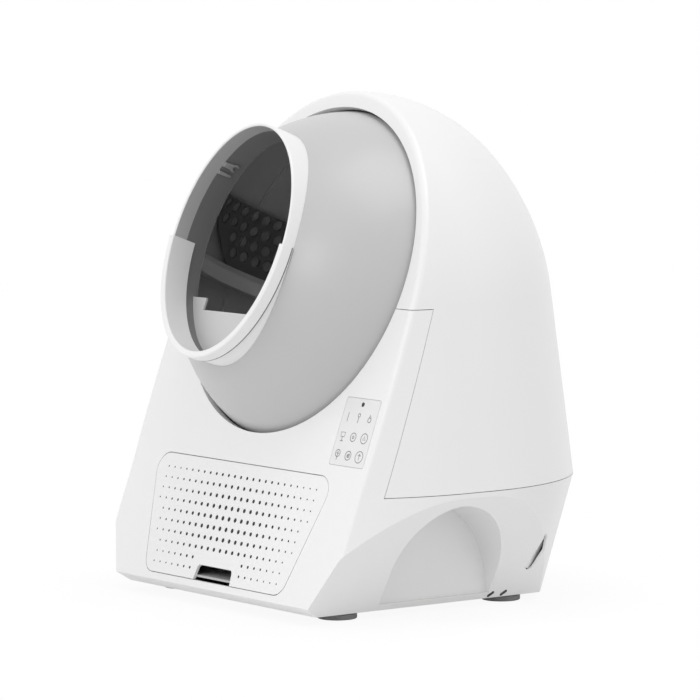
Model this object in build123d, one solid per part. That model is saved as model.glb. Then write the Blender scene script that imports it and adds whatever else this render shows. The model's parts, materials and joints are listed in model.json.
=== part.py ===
from build123d import *

import os
from math import acos, cos, degrees, hypot, pi, radians, sin, tan

# Self-cleaning litter box, millimetres, +Z up, the front faces -Y.
# The origin is under the middle of the object, on the floor.

# Housing: a dome, turned at both ends with a straight run between, on a tapering base,
# cut by a leaning front plane
HOUSING_H = 650.0
TILT = 20.0
OPENING_Z = 424.0
OPENING_R = 219.0
AXIS_SETBACK = 87.0
FRONT_RUN = 45.0
CROWN_R = 232.0
CROWN_ANGLE = 50.0
SHOULDER_R = 331.0
FLARE_ANGLE = 7.2
SEAM_Z = 158.0
SEAM_GAP = 0.8
WALL = 3.0
FRONT_WALL = 3.5
FRONT_EDGE_R = 8.0
OPENING_LIP = 9.0
FASCIA_TOP_Z = 386.0
FASCIA_RETURN = 28.0
COVER_HALF_W = 176.0

# Base: the round seam carried down along the lean, cut in by curved sides
FLOOR_Z = 10.0
FLOOR_T = 3.0
BASE_LOW_HALF_W = 204.0
BASE_MID_HALF_W = 240.0
BASE_MID_Z = 76.0
BASE_TOP_SPARE = 3.5
CHIN_RISE = 12.0
CHIN_RUN = 18.0

# Hand grips and rear slots in the base
GRIP_FRONT_Y = -34.0
GRIP_FRONT_Z = 60.0
GRIP_REAR_Y = 141.0
GRIP_REAR_Z = 45.0
GRIP_PEAK_Y = 46.0
GRIP_BOTTOM_Z = 18.0
GRIP_TOP_Z = 142.0
GRIP_BULGE = 0.7
GRIP_BACK_LOW_X = 203.0
GRIP_BACK_HIGH_X = 186.0
SLOT_X = 239.0
SLOT_Y = 204.0
SLOT_DEPTH = 24.0
SLOT_Z = 68.0
SLOT_W = 12.0
SLOT_H = 47.0
SLOT_TURN = 32.0

# Drum: a split sphere that turns about the leaning axis
DRUM_DEPTH = 88.0
DRUM_R = 230.0
DRUM_WALL = 3.0
DRUM_SPLIT = 29.0
SPIGOT_T = 2.5
SPIGOT_LAP = 8.0
FIT_GAP = 0.2
PORT_W = 130.0
PORT_L = 104.0
PORT_POLAR = 110.0
PORT_CORNER_R = 22.0
PORT_SEAL_W = 9.0
PORT_SEAL_T = 2.5

# Entry collar, guard and weir, measured along the axis from the drum centre
COLLAR_HALF_W = 121.0
COLLAR_HALF_H = 155.0
COLLAR_WALL = 4.0
COLLAR_RIM = 212.0
COLLAR_INNER = 158.0
COLLAR_FLANGE_W = 12.0
COLLAR_FLANGE_T = 3.0
GUARD_T = 2.2
GUARD_OUTER_L = 15.0
GUARD_INNER_L = 36.0
GUARD_TOP = -1.0
GUARD_EDGE_R = 2.0
WEIR_TOP = -84.0
WEIR_T = 3.0
WEIR_DEPTH = 50.0
WEIR_STEP_W = 22.0
WEIR_STEP_H = 16.0

# Sieve and scoop inside the drum
SIEVE_R = 221.0
SIEVE_T = 3.0
SIEVE_LOW = 4.0
SIEVE_TOP = 86.0
SIEVE_BACK = -120.0
SIEVE_FRONT = 50.0
SIEVE_LEAN = 47.5
SIEVE_HOLE = 15.0
SIEVE_PITCH = 21.0
SIEVE_MARGIN = 12.0
SIEVE_ROW = 18.0
SIEVE_ROWS = 4
SCOOP_TOP_R = 214.0
SCOOP_LIP_R = 205.0
SCOOP_LIP = -5.0
SCOOP_FOOT = -22.0
SCOOP_TURN = -32.0
SCOOP_ARC = 82.0

# Drive: ring gear, pinion and geared motor
GEAR_MODULE = 2.5
RING_TEETH = 186
PINION_TEETH = 20
GEAR_W = 13.0
TRACK_W = 13.0
TRACK_R = 233.0
TOOTH_SHARE = 0.40
MESH_PLAY = 0.4
MESH_ANGLE = 50.0
SHAFT_R = 5.0
RUN_GAP = 0.05
GEARBOX_R = 24.0
GEARBOX_L = 30.0
MOTOR_R = 17.0
MOTOR_L = 58.0

# Drum supports
ROLLER_R = 26.0
ROLLER_W = 10.0
ROLLER_ANGLE = 28.0
ROLLER_PIN_R = 4.0
CHEEK_T = 4.0
CHEEK_GAP = 1.0
CHEEK_W = 26.0
SPINDLE_R = 12.0
SPINDLE_L = 34.0
SPINDLE_FLANGE_R = 42.0
SPINDLE_FLANGE_T = 8.0
BUSH_WALL = 5.0
PEDESTAL_T = 16.0
PEDESTAL_TOP_W = 64.0
PEDESTAL_FOOT_W = 150.0
PEDESTAL_HOLE_R = 24.0

# Deck, drawer bay and chute
DECK_Z = 146.0
DECK_T = 4.0
SLIDE_GAP = 0.3
BAY_HALF_W = 172.0
BAY_T = 4.0
BAY_FRONT_Y = -72.0
BAY_REAR_Y = 226.0
BAY_HOLE_L = 50.0
BAY_HOLE_H = 46.0
HOOD_TOP_Z = 186.0
HOOD_HALF_W = 198.0
HOOD_BACK_Y = -60.0
HOOD_T = 3.0
CHUTE_W = 156.0
CHUTE_L = 124.0
CHUTE_R = 20.0
CHUTE_WALL = 7.0
CHUTE_H = 6.0

# Waste drawer
FACE_TOP_S = -260.0
FACE_LOW_S = -419.0
FACE_TOP_HALF_W = 193.0
FACE_LOW_HALF_W = 149.0
FACE_CORNER_R = 22.0
FACE_GAP = 1.0
FACE_T = 4.0
HOLE_ROWS = 10
HOLE_PITCH = 13.4
HOLE_MARGIN = 15.0
HOLE_TOP_MARGIN = 19.0
HOLE_MAX_R = 3.1
HOLE_MIN_R = 1.2
NOTCH_TOP_HALF_W = 37.0
NOTCH_LOW_HALF_W = 43.0
NOTCH_H = 21.0
RAIL_W = 15.0
RAIL_X = 108.0
BIN_Z = 34.0
BIN_TOP_Z = 138.0
BIN_LOW_HALF_W = 136.0
BIN_TOP_HALF_W = 158.0
BIN_FRONT_Y = -84.0
BIN_REAR_Y = 212.0
BIN_WALL = 2.5
BIN_R = 18.0
BAG_RING_W = 9.0
BAG_RING_T = 3.5
FILTER_T = 10.0
FILTER_HALF_W = 128.0
FILTER_LOW_Z = 62.0
FILTER_TOP_Z = 132.0

# Touch panel on the front plane
PANEL_X = 205.0
PANEL_S = -201.0
PANEL_W = 69.4
PANEL_GAP = 0.6
PANEL_L = 88.0
PANEL_T = 2.0
PANEL_R = 4.0
SENSOR_R = 3.0
SENSOR_RISE = 36.0
BOARD_GAP = 6.0
BOARD_T = 1.6
BOARD_MARGIN = 3.0
POST_R = 3.0

# Feet and power inlet
FOOT_R = 25.0
FOOT_T = 6.5
FOOT_X = 168.0
FOOT_FRONT_Y = -69.0
FOOT_REAR_Y = 194.0
CELL_R = 19.0
INLET_X = -70.0
INLET_Z = 60.0
INLET_R = 8.0
INLET_BORE_R = 3.2
INLET_PIN_R = 1.0
INLET_L = 26.0

# Places that follow from the sizes above
BIG = 4 * HOUSING_H
COS_T = cos(radians(TILT))
SIN_T = sin(radians(TILT))
CROWN_Z = HOUSING_H - CROWN_R
SHOULDER_TURN = 90.0 - FLARE_ANGLE
SHOULDER_X = (CROWN_R - SHOULDER_R) * sin(radians(CROWN_ANGLE))
SHOULDER_Z = CROWN_Z + (CROWN_R - SHOULDER_R) * cos(radians(CROWN_ANGLE))
FLARE_X = SHOULDER_X + SHOULDER_R * sin(radians(SHOULDER_TURN))
FLARE_Z = SHOULDER_Z + SHOULDER_R * cos(radians(SHOULDER_TURN))
SEAM_R = FLARE_X + (FLARE_Z - SEAM_Z) * tan(radians(FLARE_ANGLE))
GUARD_FRONT = COLLAR_RIM + FIT_GAP + GUARD_T
GUARD_REACH = COLLAR_HALF_H + FIT_GAP + GUARD_T
GUARD_AHEAD = GUARD_FRONT - DRUM_DEPTH - GUARD_EDGE_R
FRONT_REACH = GUARD_AHEAD * COS_T + (GUARD_REACH - GUARD_EDGE_R) * SIN_T + GUARD_EDGE_R
REAR_REACH = AXIS_SETBACK + SEAM_R
OPENING_Y = (FRONT_REACH - REAR_REACH) / 2
AXIS_Y = OPENING_Y + AXIS_SETBACK
FRONT = Pos(0, OPENING_Y, OPENING_Z) * Rot(90 - TILT, 0, 0)
DRUM = FRONT * Pos(0, 0, -DRUM_DEPTH)
DRUM_Y = OPENING_Y + DRUM_DEPTH * COS_T
DECK_TOP = DECK_Z + DECK_T
BASE_FLOOR = FLOOR_Z + FLOOR_T
RING_PITCH_R = GEAR_MODULE * RING_TEETH / 2
PINION_PITCH_R = GEAR_MODULE * PINION_TEETH / 2
GEAR_BACK = DRUM_SPLIT
MESH_R = RING_PITCH_R + PINION_PITCH_R + MESH_PLAY
ROLLER_MID = GEAR_BACK - TRACK_W / 2


def from_opening(y):
    """Y of a place measured back from the opening's centre."""
    return OPENING_Y + y


def front_y(z):
    """Y of the leaning front plane at height z."""
    return OPENING_Y + (z - OPENING_Z) * tan(radians(TILT))


def block(x0, x1, y0, y1, z0, z1):
    """Box between two corners."""
    middle = Pos((x0 + x1) / 2, (y0 + y1) / 2, (z0 + z1) / 2)
    return middle * Box(abs(x1 - x0), abs(y1 - y0), abs(z1 - z0))


def behind_front(setback):
    """Half space behind the front plane, set back by a distance."""
    return FRONT * Pos(0, 0, -setback - BIG / 2) * Box(BIG, BIG, BIG)


def above(z):
    """Half space above a height."""
    return Pos(0, 0, z + BIG / 2) * Box(BIG, BIG, BIG)


def mirrored(shape):
    """The same piece on the other side."""
    return mirror(shape, about=Plane.YZ)


# Housing envelope

def dome_solid(inset):
    """Upper housing, turned at both ends with a straight run between, offset inwards."""
    crown = CROWN_R - inset
    shoulder = SHOULDER_R - inset

    def on_crown(angle):
        return (crown * sin(radians(angle)), CROWN_Z + crown * cos(radians(angle)))

    def on_shoulder(angle):
        turn = radians(angle)
        return (SHOULDER_X + shoulder * sin(turn), SHOULDER_Z + shoulder * cos(turn))

    hip = on_shoulder(SHOULDER_TURN)
    seam = (hip[0] + (hip[1] - SEAM_Z) * tan(radians(FLARE_ANGLE)), SEAM_Z)
    profile = make_face([
        Line((0, SEAM_Z), on_crown(0)),
        ThreePointArc(on_crown(0), on_crown(CROWN_ANGLE / 2), on_crown(CROWN_ANGLE)),
        ThreePointArc(on_shoulder(CROWN_ANGLE), on_shoulder((CROWN_ANGLE + SHOULDER_TURN) / 2), hip),
        Line(hip, seam),
        Line(seam, (0, SEAM_Z)),
    ])
    half = Plane.XZ * profile
    rear = Pos(0, AXIS_Y, 0) * revolve(half, Axis.Z, 180)
    middle = Pos(0, AXIS_Y, 0) * extrude(half + mirror(half, about=Plane.YZ), FRONT_RUN, dir=(0, -1, 0))
    front = Pos(0, AXIS_Y - FRONT_RUN, 0) * Rot(0, 0, 180) * revolve(half, Axis.Z, 180)
    return rear + middle + front


def base_sides(inset):
    """Prism along Y whose curved sides draw the base in towards the floor, offset inwards."""
    low = (BASE_LOW_HALF_W - inset, FLOOR_Z)
    middle = (BASE_MID_HALF_W - inset, BASE_MID_Z)
    top = (SEAM_R + BASE_TOP_SPARE - inset, SEAM_Z)
    right = ThreePointArc(low, middle, top)
    left = mirror(right, about=Plane.YZ)
    profile = make_face([right, left, Line(left @ 0, low), Line(left @ 1, top)])
    return Pos(0, AXIS_Y, 0) * extrude(Plane.XZ * profile, 2 * SEAM_R, both=True)


def chin(inset):
    """Wedge under the front edge, where the base is cut away."""
    slope = degrees(acos(CHIN_RUN / hypot(CHIN_RUN, CHIN_RISE)))
    edge_z = FLOOR_Z + CHIN_RISE
    return Pos(0, front_y(edge_z), edge_z) * Rot(-slope, 0, 0) * Pos(0, 0, inset - BIG / 2) * Box(BIG, BIG, BIG)


def soften_front(solid, setback, radius):
    """Round the edge between the leaning front and the sides."""

    def on_edge(edge):
        middle = FRONT.inverse() * Pos(edge @ 0.5)
        start = FRONT.inverse() * Pos(edge @ 0)
        flat = max(abs(middle.position.Z + setback), abs(start.position.Z + setback)) < 0.05
        level = abs((edge @ 0).Z - (edge @ 0.5).Z) < 0.05 and abs((edge @ 1).Z - (edge @ 0.5).Z) < 0.05
        return flat and not level

    return fillet(ShapeList([edge for edge in solid.edges() if on_edge(edge)]), radius)


def upper_body(inset, setback, radius):
    """Dome behind the front plane, with its front edge rounded."""
    return soften_front(dome_solid(inset) & behind_front(setback), setback, radius)


def base_body(inset, setback, radius):
    """Base under the dome: the dome's outline at the seam carried down along the lean, cut in by the sides."""
    seam = upper_body(inset, setback, radius).faces().sort_by(Axis.Z)[0]
    drop = (SEAM_Z - FLOOR_Z) / COS_T
    return extrude(seam, drop, dir=(0, -SIN_T, -COS_T)) & base_sides(inset)


def housing_shells():
    """Upper and lower hollow halves of the housing, before they are parted."""
    upper = upper_body(0, 0, FRONT_EDGE_R)
    upper -= upper_body(WALL, FRONT_WALL, FRONT_EDGE_R - WALL)
    lower = base_body(0, 0, FRONT_EDGE_R)
    hollow = base_body(WALL, FRONT_WALL, FRONT_EDGE_R - WALL)
    lower -= chin(0)
    lower -= (hollow & above(BASE_FLOOR)) - chin(WALL)
    lip = FRONT * Pos(0, 0, -FRONT_WALL) * extrude(Circle(OPENING_R + WALL) - Circle(OPENING_R), -OPENING_LIP)
    upper += lip
    upper -= FRONT * Pos(0, 0, -OPENING_LIP * 2) * extrude(Circle(OPENING_R), OPENING_LIP * 3)
    return upper, lower


def fascia_region(gap):
    """Part of the upper housing that belongs to the base: the front with its side returns."""
    strip = FRONT * Pos(0, 0, -FASCIA_RETURN - gap) * extrude(Rectangle(BIG, BIG), BIG)
    return strip - above(FASCIA_TOP_Z + gap)


def rear_cover_region(gap):
    """Block that takes the service cover out of the back of the dome."""
    half_w = COVER_HALF_W + gap
    return block(-half_w, half_w, AXIS_Y, BIG, SEAM_Z - WALL, FASCIA_TOP_Z + gap)


# Base shell details

def face_outline(gap):
    """Drawer front seen along Y: an upside-down trapezoid with round corners, on the XZ plane."""
    top_z = OPENING_Z + FACE_TOP_S * COS_T - gap
    low_z = OPENING_Z + FACE_LOW_S * COS_T + gap
    outline = make_face(Polyline(
        (-FACE_TOP_HALF_W + gap, top_z), (FACE_TOP_HALF_W - gap, top_z),
        (FACE_LOW_HALF_W - gap, low_z), (-FACE_LOW_HALF_W + gap, low_z), close=True))
    return fillet(outline.vertices(), FACE_CORNER_R - gap)


def face_prism(gap):
    """Drawer front outline carried along Y through the front wall."""
    front = front_y(0) - FRONT_WALL
    return Pos(0, front, 0) * extrude(Plane.XZ * face_outline(gap), -(HOOD_BACK_Y - front_y(0) + OPENING_Y))


def grip_outline(grow):
    """Arch of the hand grip seen from the side, on the YZ plane."""
    low = GRIP_BOTTOM_Z - grow
    high = GRIP_TOP_Z + grow
    front = from_opening(GRIP_FRONT_Y) - grow
    rear = from_opening(GRIP_REAR_Y) + grow
    peak = from_opening(GRIP_PEAK_Y)
    front_mid = (peak + (front - peak) * GRIP_BULGE, GRIP_FRONT_Z + (high - GRIP_FRONT_Z) * GRIP_BULGE)
    rear_mid = (peak + (rear - peak) * GRIP_BULGE, GRIP_REAR_Z + (high - GRIP_REAR_Z) * GRIP_BULGE)
    return make_face([
        Line((front, low), (front, GRIP_FRONT_Z)),
        ThreePointArc((front, GRIP_FRONT_Z), front_mid, (peak, high)),
        ThreePointArc((peak, high), rear_mid, (rear, GRIP_REAR_Z)),
        Line((rear, GRIP_REAR_Z), (rear, low)),
        Line((rear, low), (front, low)),
    ])


def grip_space(grow):
    """Hollow of the right hand grip: the arch carried in to a back wall that leans inwards."""
    arch = extrude(Plane.YZ * grip_outline(grow), BIG)
    lean = degrees(acos((GRIP_TOP_Z - GRIP_BOTTOM_Z) / hypot(
        GRIP_TOP_Z - GRIP_BOTTOM_Z, GRIP_BACK_LOW_X - GRIP_BACK_HIGH_X)))
    back = Pos(GRIP_BACK_LOW_X, 0, GRIP_BOTTOM_Z) * Rot(0, -lean, 0) * Pos(BIG / 2 - grow, 0, 0)
    return arch & (back * Box(BIG, BIG, BIG))


def rear_slot():
    """Cutter for the upright slot near the right rear corner."""
    spot = Pos(SLOT_X, from_opening(SLOT_Y), SLOT_Z) * Rot(0, 0, SLOT_TURN)
    return spot * extrude(Plane.YZ * SlotOverall(SLOT_H, SLOT_W, rotation=90), SLOT_DEPTH, both=True)


def panel_spot(x, s, height):
    """Place on the front plane, right of and above the opening's centre."""
    return FRONT * Pos(x, s, height)


def panel_posts():
    """Four posts behind the front wall that carry the control board."""
    posts = []
    for side in (-1, 1):
        for end in (-1, 1):
            x = PANEL_X + side * (PANEL_W / 2 - BOARD_MARGIN - POST_R)
            s = PANEL_S + end * (PANEL_L / 2 - BOARD_MARGIN - POST_R)
            posts.append(panel_spot(x, s, -FRONT_WALL) * extrude(Circle(POST_R), -BOARD_GAP))
    return posts


def inlet_place():
    """Place of the power inlet: its axis runs along Y through the back wall."""
    return Pos(INLET_X, AXIS_Y + SEAM_R, INLET_Z)


def base_shell(upper, lower):
    """Base with its front fascia, drawer mouth, grips, slots and inlet hole."""
    pockets = grip_space(WALL) & base_body(WALL / 2, FRONT_WALL / 2, FRONT_EDGE_R - WALL / 2)
    shell = lower + pockets + mirrored(pockets)
    shell += upper & fascia_region(0)
    shell -= grip_space(0)
    shell -= mirrored(grip_space(0))
    shell -= rear_slot()
    shell -= mirrored(rear_slot())
    shell -= face_prism(0)
    panel = panel_spot(PANEL_X, PANEL_S, -PANEL_T) * extrude(RectangleRounded(PANEL_W, PANEL_L, PANEL_R), BIG)
    shell -= panel
    for post in panel_posts():
        shell += post
    shell -= inlet_place() * extrude(Plane.XZ * Circle(INLET_R), SEAM_R / 2)
    return shell


def dome_shell(upper):
    """Upper housing above the parting line, without the service cover."""
    shell = (upper & above(SEAM_Z + SEAM_GAP)) - fascia_region(SEAM_GAP)
    return shell - rear_cover_region(SEAM_GAP)


def rear_cover(upper):
    """Service cover in the back of the dome."""
    return upper & above(SEAM_Z) & rear_cover_region(0)


# Deck, drawer bay, chute

def chassis_deck():
    """Deck with the chute hole and a hood over the drawer front."""
    inside = base_body(WALL + SLIDE_GAP, FRONT_WALL + SLIDE_GAP, FRONT_EDGE_R)
    plate = inside & above(DECK_Z) & Pos(0, 0, DECK_TOP - BIG / 2) * Box(BIG, BIG, BIG)
    front = front_y(DECK_Z) - WALL
    hood_back = from_opening(HOOD_BACK_Y)
    outer = block(-HOOD_HALF_W - HOOD_T, HOOD_HALF_W + HOOD_T, front, hood_back + HOOD_T, DECK_Z, HOOD_TOP_Z)
    outer &= behind_front(FRONT_WALL + SLIDE_GAP)
    inner = block(-HOOD_HALF_W, HOOD_HALF_W, front - WALL, hood_back, DECK_Z - WALL, HOOD_TOP_Z - HOOD_T)
    chute = Pos(0, DRUM_Y, DECK_Z) * extrude(RectangleRounded(CHUTE_W, CHUTE_L, CHUTE_R), DECK_T)
    return plate + outer - inner - chute


def chute_collar():
    """Raised frame round the chute hole, just below the drum."""
    outer = RectangleRounded(CHUTE_W + 2 * CHUTE_WALL, CHUTE_L + 2 * CHUTE_WALL, CHUTE_R + CHUTE_WALL)
    frame = outer - RectangleRounded(CHUTE_W, CHUTE_L, CHUTE_R)
    return Pos(0, DRUM_Y, DECK_TOP) * extrude(frame, CHUTE_H)


def drawer_bay():
    """Right side wall of the drawer bay, with a foot flange and two lightening holes."""
    front = from_opening(BAY_FRONT_Y)
    rear = from_opening(BAY_REAR_Y)
    wall = block(BAY_HALF_W, BAY_HALF_W + BAY_T, front, rear, BASE_FLOOR, DECK_Z)
    wall += block(BAY_HALF_W, BAY_HALF_W + 3 * BAY_T, front, rear, BASE_FLOOR, BASE_FLOOR + FLOOR_T)
    middle_z = (BASE_FLOOR + DECK_Z) / 2
    for share in (0.28, 0.72):
        spot = Pos(BAY_HALF_W - BAY_T, front + (rear - front) * share, middle_z)
        wall -= spot * extrude(Plane.YZ * RectangleRounded(BAY_HOLE_L, BAY_HOLE_H, BAY_HOLE_H / 4), 3 * BAY_T)
    return wall


def drawer_rail():
    """Right runner under the drawer."""
    front = from_opening(BAY_FRONT_Y)
    rear = from_opening(BIN_REAR_Y)
    return block(RAIL_X - RAIL_W / 2, RAIL_X + RAIL_W / 2, front, rear, BASE_FLOOR, BIN_Z - SLIDE_GAP)


# Touch panel, feet, inlet

def control_panel():
    """Touch panel, flush with the front plane, with a hole for its sensor window."""
    outline = RectangleRounded(PANEL_W - 2 * PANEL_GAP, PANEL_L - 2 * PANEL_GAP, PANEL_R - PANEL_GAP)
    outline -= Pos(0, SENSOR_RISE) * Circle(SENSOR_R)
    return panel_spot(PANEL_X, PANEL_S, -PANEL_T) * extrude(outline, PANEL_T)


def panel_sensor():
    """Dark sensor window in the touch panel."""
    return panel_spot(PANEL_X, PANEL_S + SENSOR_RISE, -PANEL_T) * extrude(Circle(SENSOR_R), PANEL_T)


def control_board():
    """Circuit board on the posts behind the touch panel, with its main components."""
    board = Rectangle(PANEL_W - 2 * BOARD_MARGIN, PANEL_L - 2 * BOARD_MARGIN)
    height = -FRONT_WALL - BOARD_GAP
    solid = panel_spot(PANEL_X, PANEL_S, height) * extrude(board, -BOARD_T)
    chip = Rectangle(PANEL_W / 4, PANEL_W / 4)
    solid += panel_spot(PANEL_X, PANEL_S, height - BOARD_T) * extrude(chip, -BOARD_T)
    plug = Rectangle(PANEL_W / 2, PANEL_L / 12)
    solid += panel_spot(PANEL_X, PANEL_S - PANEL_L / 3, height - BOARD_T) * extrude(plug, -3 * BOARD_T)
    return solid


def foot_place(side, end):
    """Middle of a foot on the floor; side is -1 left or 1 right, end is front or rear."""
    return Pos(side * FOOT_X, from_opening(FOOT_FRONT_Y if end == "front" else FOOT_REAR_Y), 0)


def foot(side, end):
    """Round rubber foot with a softened lower edge."""
    pad = extrude(Circle(FOOT_R), FOOT_T)
    return foot_place(side, end) * fillet(pad.edges().group_by(Axis.Z)[0], FOOT_T / 4)


def load_cell(side, end):
    """Weight sensor between foot and floor: a disc with a beam cut free in it."""
    slot = Circle(CELL_R * 0.66) - Circle(CELL_R * 0.55)
    slot -= Pos(0, -CELL_R * 0.6) * Rectangle(CELL_R * 0.5, CELL_R * 0.5)
    return foot_place(side, end) * Pos(0, 0, FOOT_T) * extrude(Circle(CELL_R) - slot, FLOOR_Z - FOOT_T)


def power_inlet():
    """Low-voltage socket, flush with the outside of the back wall."""
    body = inlet_place() * extrude(Plane.XZ * Circle(INLET_R), SEAM_R / 2) & base_body(0, 0, FRONT_EDGE_R)
    rear = body.bounding_box().max.Y
    body &= Pos(0, rear - INLET_L / 2, INLET_Z) * Box(BIG, INLET_L, BIG)
    bore = Circle(INLET_BORE_R) - Circle(INLET_PIN_R)
    return body - Pos(INLET_X, rear, INLET_Z) * extrude(Plane.XZ * bore, INLET_L * 0.7)


# Drum

def ball(radius):
    """Full sphere about the drum's centre, in the drum's own frame."""
    return Sphere(radius)


def oval(grow):
    """Outline of the entry collar, grown outwards."""
    return Ellipse(COLLAR_HALF_W + grow, COLLAR_HALF_H + grow)


def ahead(z):
    """Half space ahead of a place on the drum's axis, in the drum's own frame."""
    return Pos(0, 0, z + BIG / 2) * Box(BIG, BIG, BIG)


def port_prism(grow):
    """Waste port outline carried out through the drum wall, in the drum's own frame."""
    outline = RectangleRounded(PORT_W + 2 * grow, PORT_L + 2 * grow, PORT_CORNER_R + grow)
    return Rot(-PORT_POLAR, 0, 0) * Pos(0, 0, DRUM_R * 0.6) * extrude(outline, DRUM_R)


def drum_front_shell():
    """Front of the drum, with the oval entrance and a spigot that laps the rear shell."""
    inner_r = DRUM_R - DRUM_WALL
    shell = (ball(DRUM_R) - ball(inner_r)) & ahead(DRUM_SPLIT)
    root = (ball(inner_r) - ball(inner_r - SPIGOT_T)) & ahead(DRUM_SPLIT)
    root -= ahead(DRUM_SPLIT + SPIGOT_LAP)
    lap = (ball(inner_r - FIT_GAP) - ball(inner_r - SPIGOT_T)) & ahead(DRUM_SPLIT - SPIGOT_LAP)
    lap -= ahead(DRUM_SPLIT + SPIGOT_LAP / 2)
    shell += root
    shell += lap
    return shell - extrude(oval(FIT_GAP), DRUM_R)


def drum_rear_shell():
    """Rear of the drum, with the waste port."""
    shell = (ball(DRUM_R) - ball(DRUM_R - DRUM_WALL)) - ahead(DRUM_SPLIT)
    return shell - port_prism(0)


def port_seal():
    """Soft frame on the outside of the drum round the waste port."""
    skin = ball(DRUM_R + PORT_SEAL_T) - ball(DRUM_R)
    return skin & (port_prism(PORT_SEAL_W) - port_prism(0))


def entry_collar():
    """Oval collar that stands on the drum, held by a flange inside the drum wall."""
    tube = Pos(0, 0, COLLAR_INNER) * extrude(oval(0) - oval(-COLLAR_WALL), COLLAR_RIM - COLLAR_INNER)
    tube = fillet(tube.edges().group_by(Axis.Z)[-1], COLLAR_WALL * 0.4)
    seat_r = DRUM_R - DRUM_WALL
    flange = (ball(seat_r) - ball(seat_r - COLLAR_FLANGE_T)) & extrude(
        oval(COLLAR_FLANGE_W) - oval(-COLLAR_WALL / 2), DRUM_R)
    return tube + flange


def rim_guard():
    """Channel that clips over the lower half of the collar's rim."""
    outside = FIT_GAP + GUARD_T
    inside = COLLAR_WALL + FIT_GAP + GUARD_T
    back = GUARD_FRONT - GUARD_INNER_L
    bar = Pos(0, 0, back) * extrude(oval(outside) - oval(-inside), GUARD_INNER_L)
    bar = fillet(bar.edges().group_by(Axis.Z)[-1], GUARD_EDGE_R)
    slot = oval(FIT_GAP) - oval(-COLLAR_WALL - FIT_GAP)
    bar -= Pos(0, 0, back) * extrude(slot, COLLAR_RIM + FIT_GAP - back)
    bar -= Pos(0, 0, back) * extrude(oval(outside + GUARD_T) - oval(0), GUARD_INNER_L - GUARD_OUTER_L)
    return bar - Pos(0, GUARD_TOP + BIG / 2, 0) * Box(BIG, BIG, BIG)


def entry_weir():
    """Low wall across the bottom of the entrance that keeps litter in, stepped at its left end."""
    edge = oval(-COLLAR_WALL - FIT_GAP)
    plate = edge - Pos(0, WEIR_TOP + BIG / 2) * Rectangle(BIG, BIG)
    step_y = WEIR_TOP + WEIR_STEP_H / 2
    step = edge & Pos(-COLLAR_HALF_W, step_y) * Rectangle(2 * (COLLAR_HALF_W * 0.2 + WEIR_STEP_W), WEIR_STEP_H)
    return Pos(0, 0, COLLAR_RIM - WEIR_DEPTH) * extrude(plate + step, WEIR_T)


def drum_inside():
    """Space inside the drum that a fitted piece may fill, clear of the wall and the spigot."""
    inner_r = DRUM_R - DRUM_WALL
    ring = ball(inner_r) - ball(inner_r - SPIGOT_T - FIT_GAP)
    ring &= ahead(DRUM_SPLIT - SPIGOT_LAP - FIT_GAP) - ahead(DRUM_SPLIT + SPIGOT_LAP + FIT_GAP)
    return ball(inner_r - FIT_GAP) - ring


def sieve_spot(y, z):
    """Place on the sieve's left-hand skin, with its axis along the skin's outward normal."""
    x = -((SIEVE_R - SIEVE_T / 2) ** 2 - y ** 2 - z ** 2) ** 0.5
    return Plane(origin=(x, y, z), z_dir=(x, y, z)).location


def sieve_edge(y):
    """How far forward the sieve reaches at a height, in the drum's own frame."""
    return SIEVE_FRONT + y * tan(radians(SIEVE_LEAN))


def sieve_panel():
    """Perforated skin on the left wall of the drum, with a leaning front edge."""
    band = ball(SIEVE_R) - ball(SIEVE_R - SIEVE_T)
    band &= block(-DRUM_R, 0, SIEVE_LOW, SIEVE_TOP, SIEVE_BACK, DRUM_R)
    band -= Pos(0, 0, SIEVE_FRONT) * Rot(SIEVE_LEAN, 0, 0) * ahead(0)
    for row in range(SIEVE_ROWS):
        y = SIEVE_LOW + SIEVE_MARGIN + SIEVE_HOLE / 2 + row * SIEVE_ROW
        z = SIEVE_BACK + SIEVE_MARGIN + (0.5 * (row % 2) + 0.5) * SIEVE_PITCH
        while z < sieve_edge(y) - SIEVE_MARGIN - SIEVE_HOLE / 2:
            band -= sieve_spot(y, z) * Cylinder(SIEVE_HOLE / 2, 4 * SIEVE_T)
            z += SIEVE_PITCH
    return band


def scoop_guide():
    """Ledge along the left wall of the drum, under the sieve."""
    top = SIEVE_LOW - FIT_GAP
    outline = make_face(Polyline(
        (DRUM_R, top), (SCOOP_TOP_R, top), (SCOOP_LIP_R, SCOOP_LIP),
        (SCOOP_LIP_R, SCOOP_FOOT), (DRUM_R, SCOOP_FOOT), close=True))
    ledge = Rot(0, 180 + SCOOP_TURN, 0) * revolve(outline, Axis.Y, SCOOP_ARC)
    return ledge & drum_inside()


def rear_spindle():
    """Stub axle with a flange that hugs the back of the drum."""
    flange = Pos(0, 0, -DRUM_R - SPINDLE_FLANGE_T) * extrude(Circle(SPINDLE_FLANGE_R), DRUM_R / 8)
    flange -= ball(DRUM_R)
    return flange + Pos(0, 0, -DRUM_R - SPINDLE_FLANGE_T - SPINDLE_L) * extrude(Circle(SPINDLE_R), SPINDLE_L)


# Gears

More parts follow.
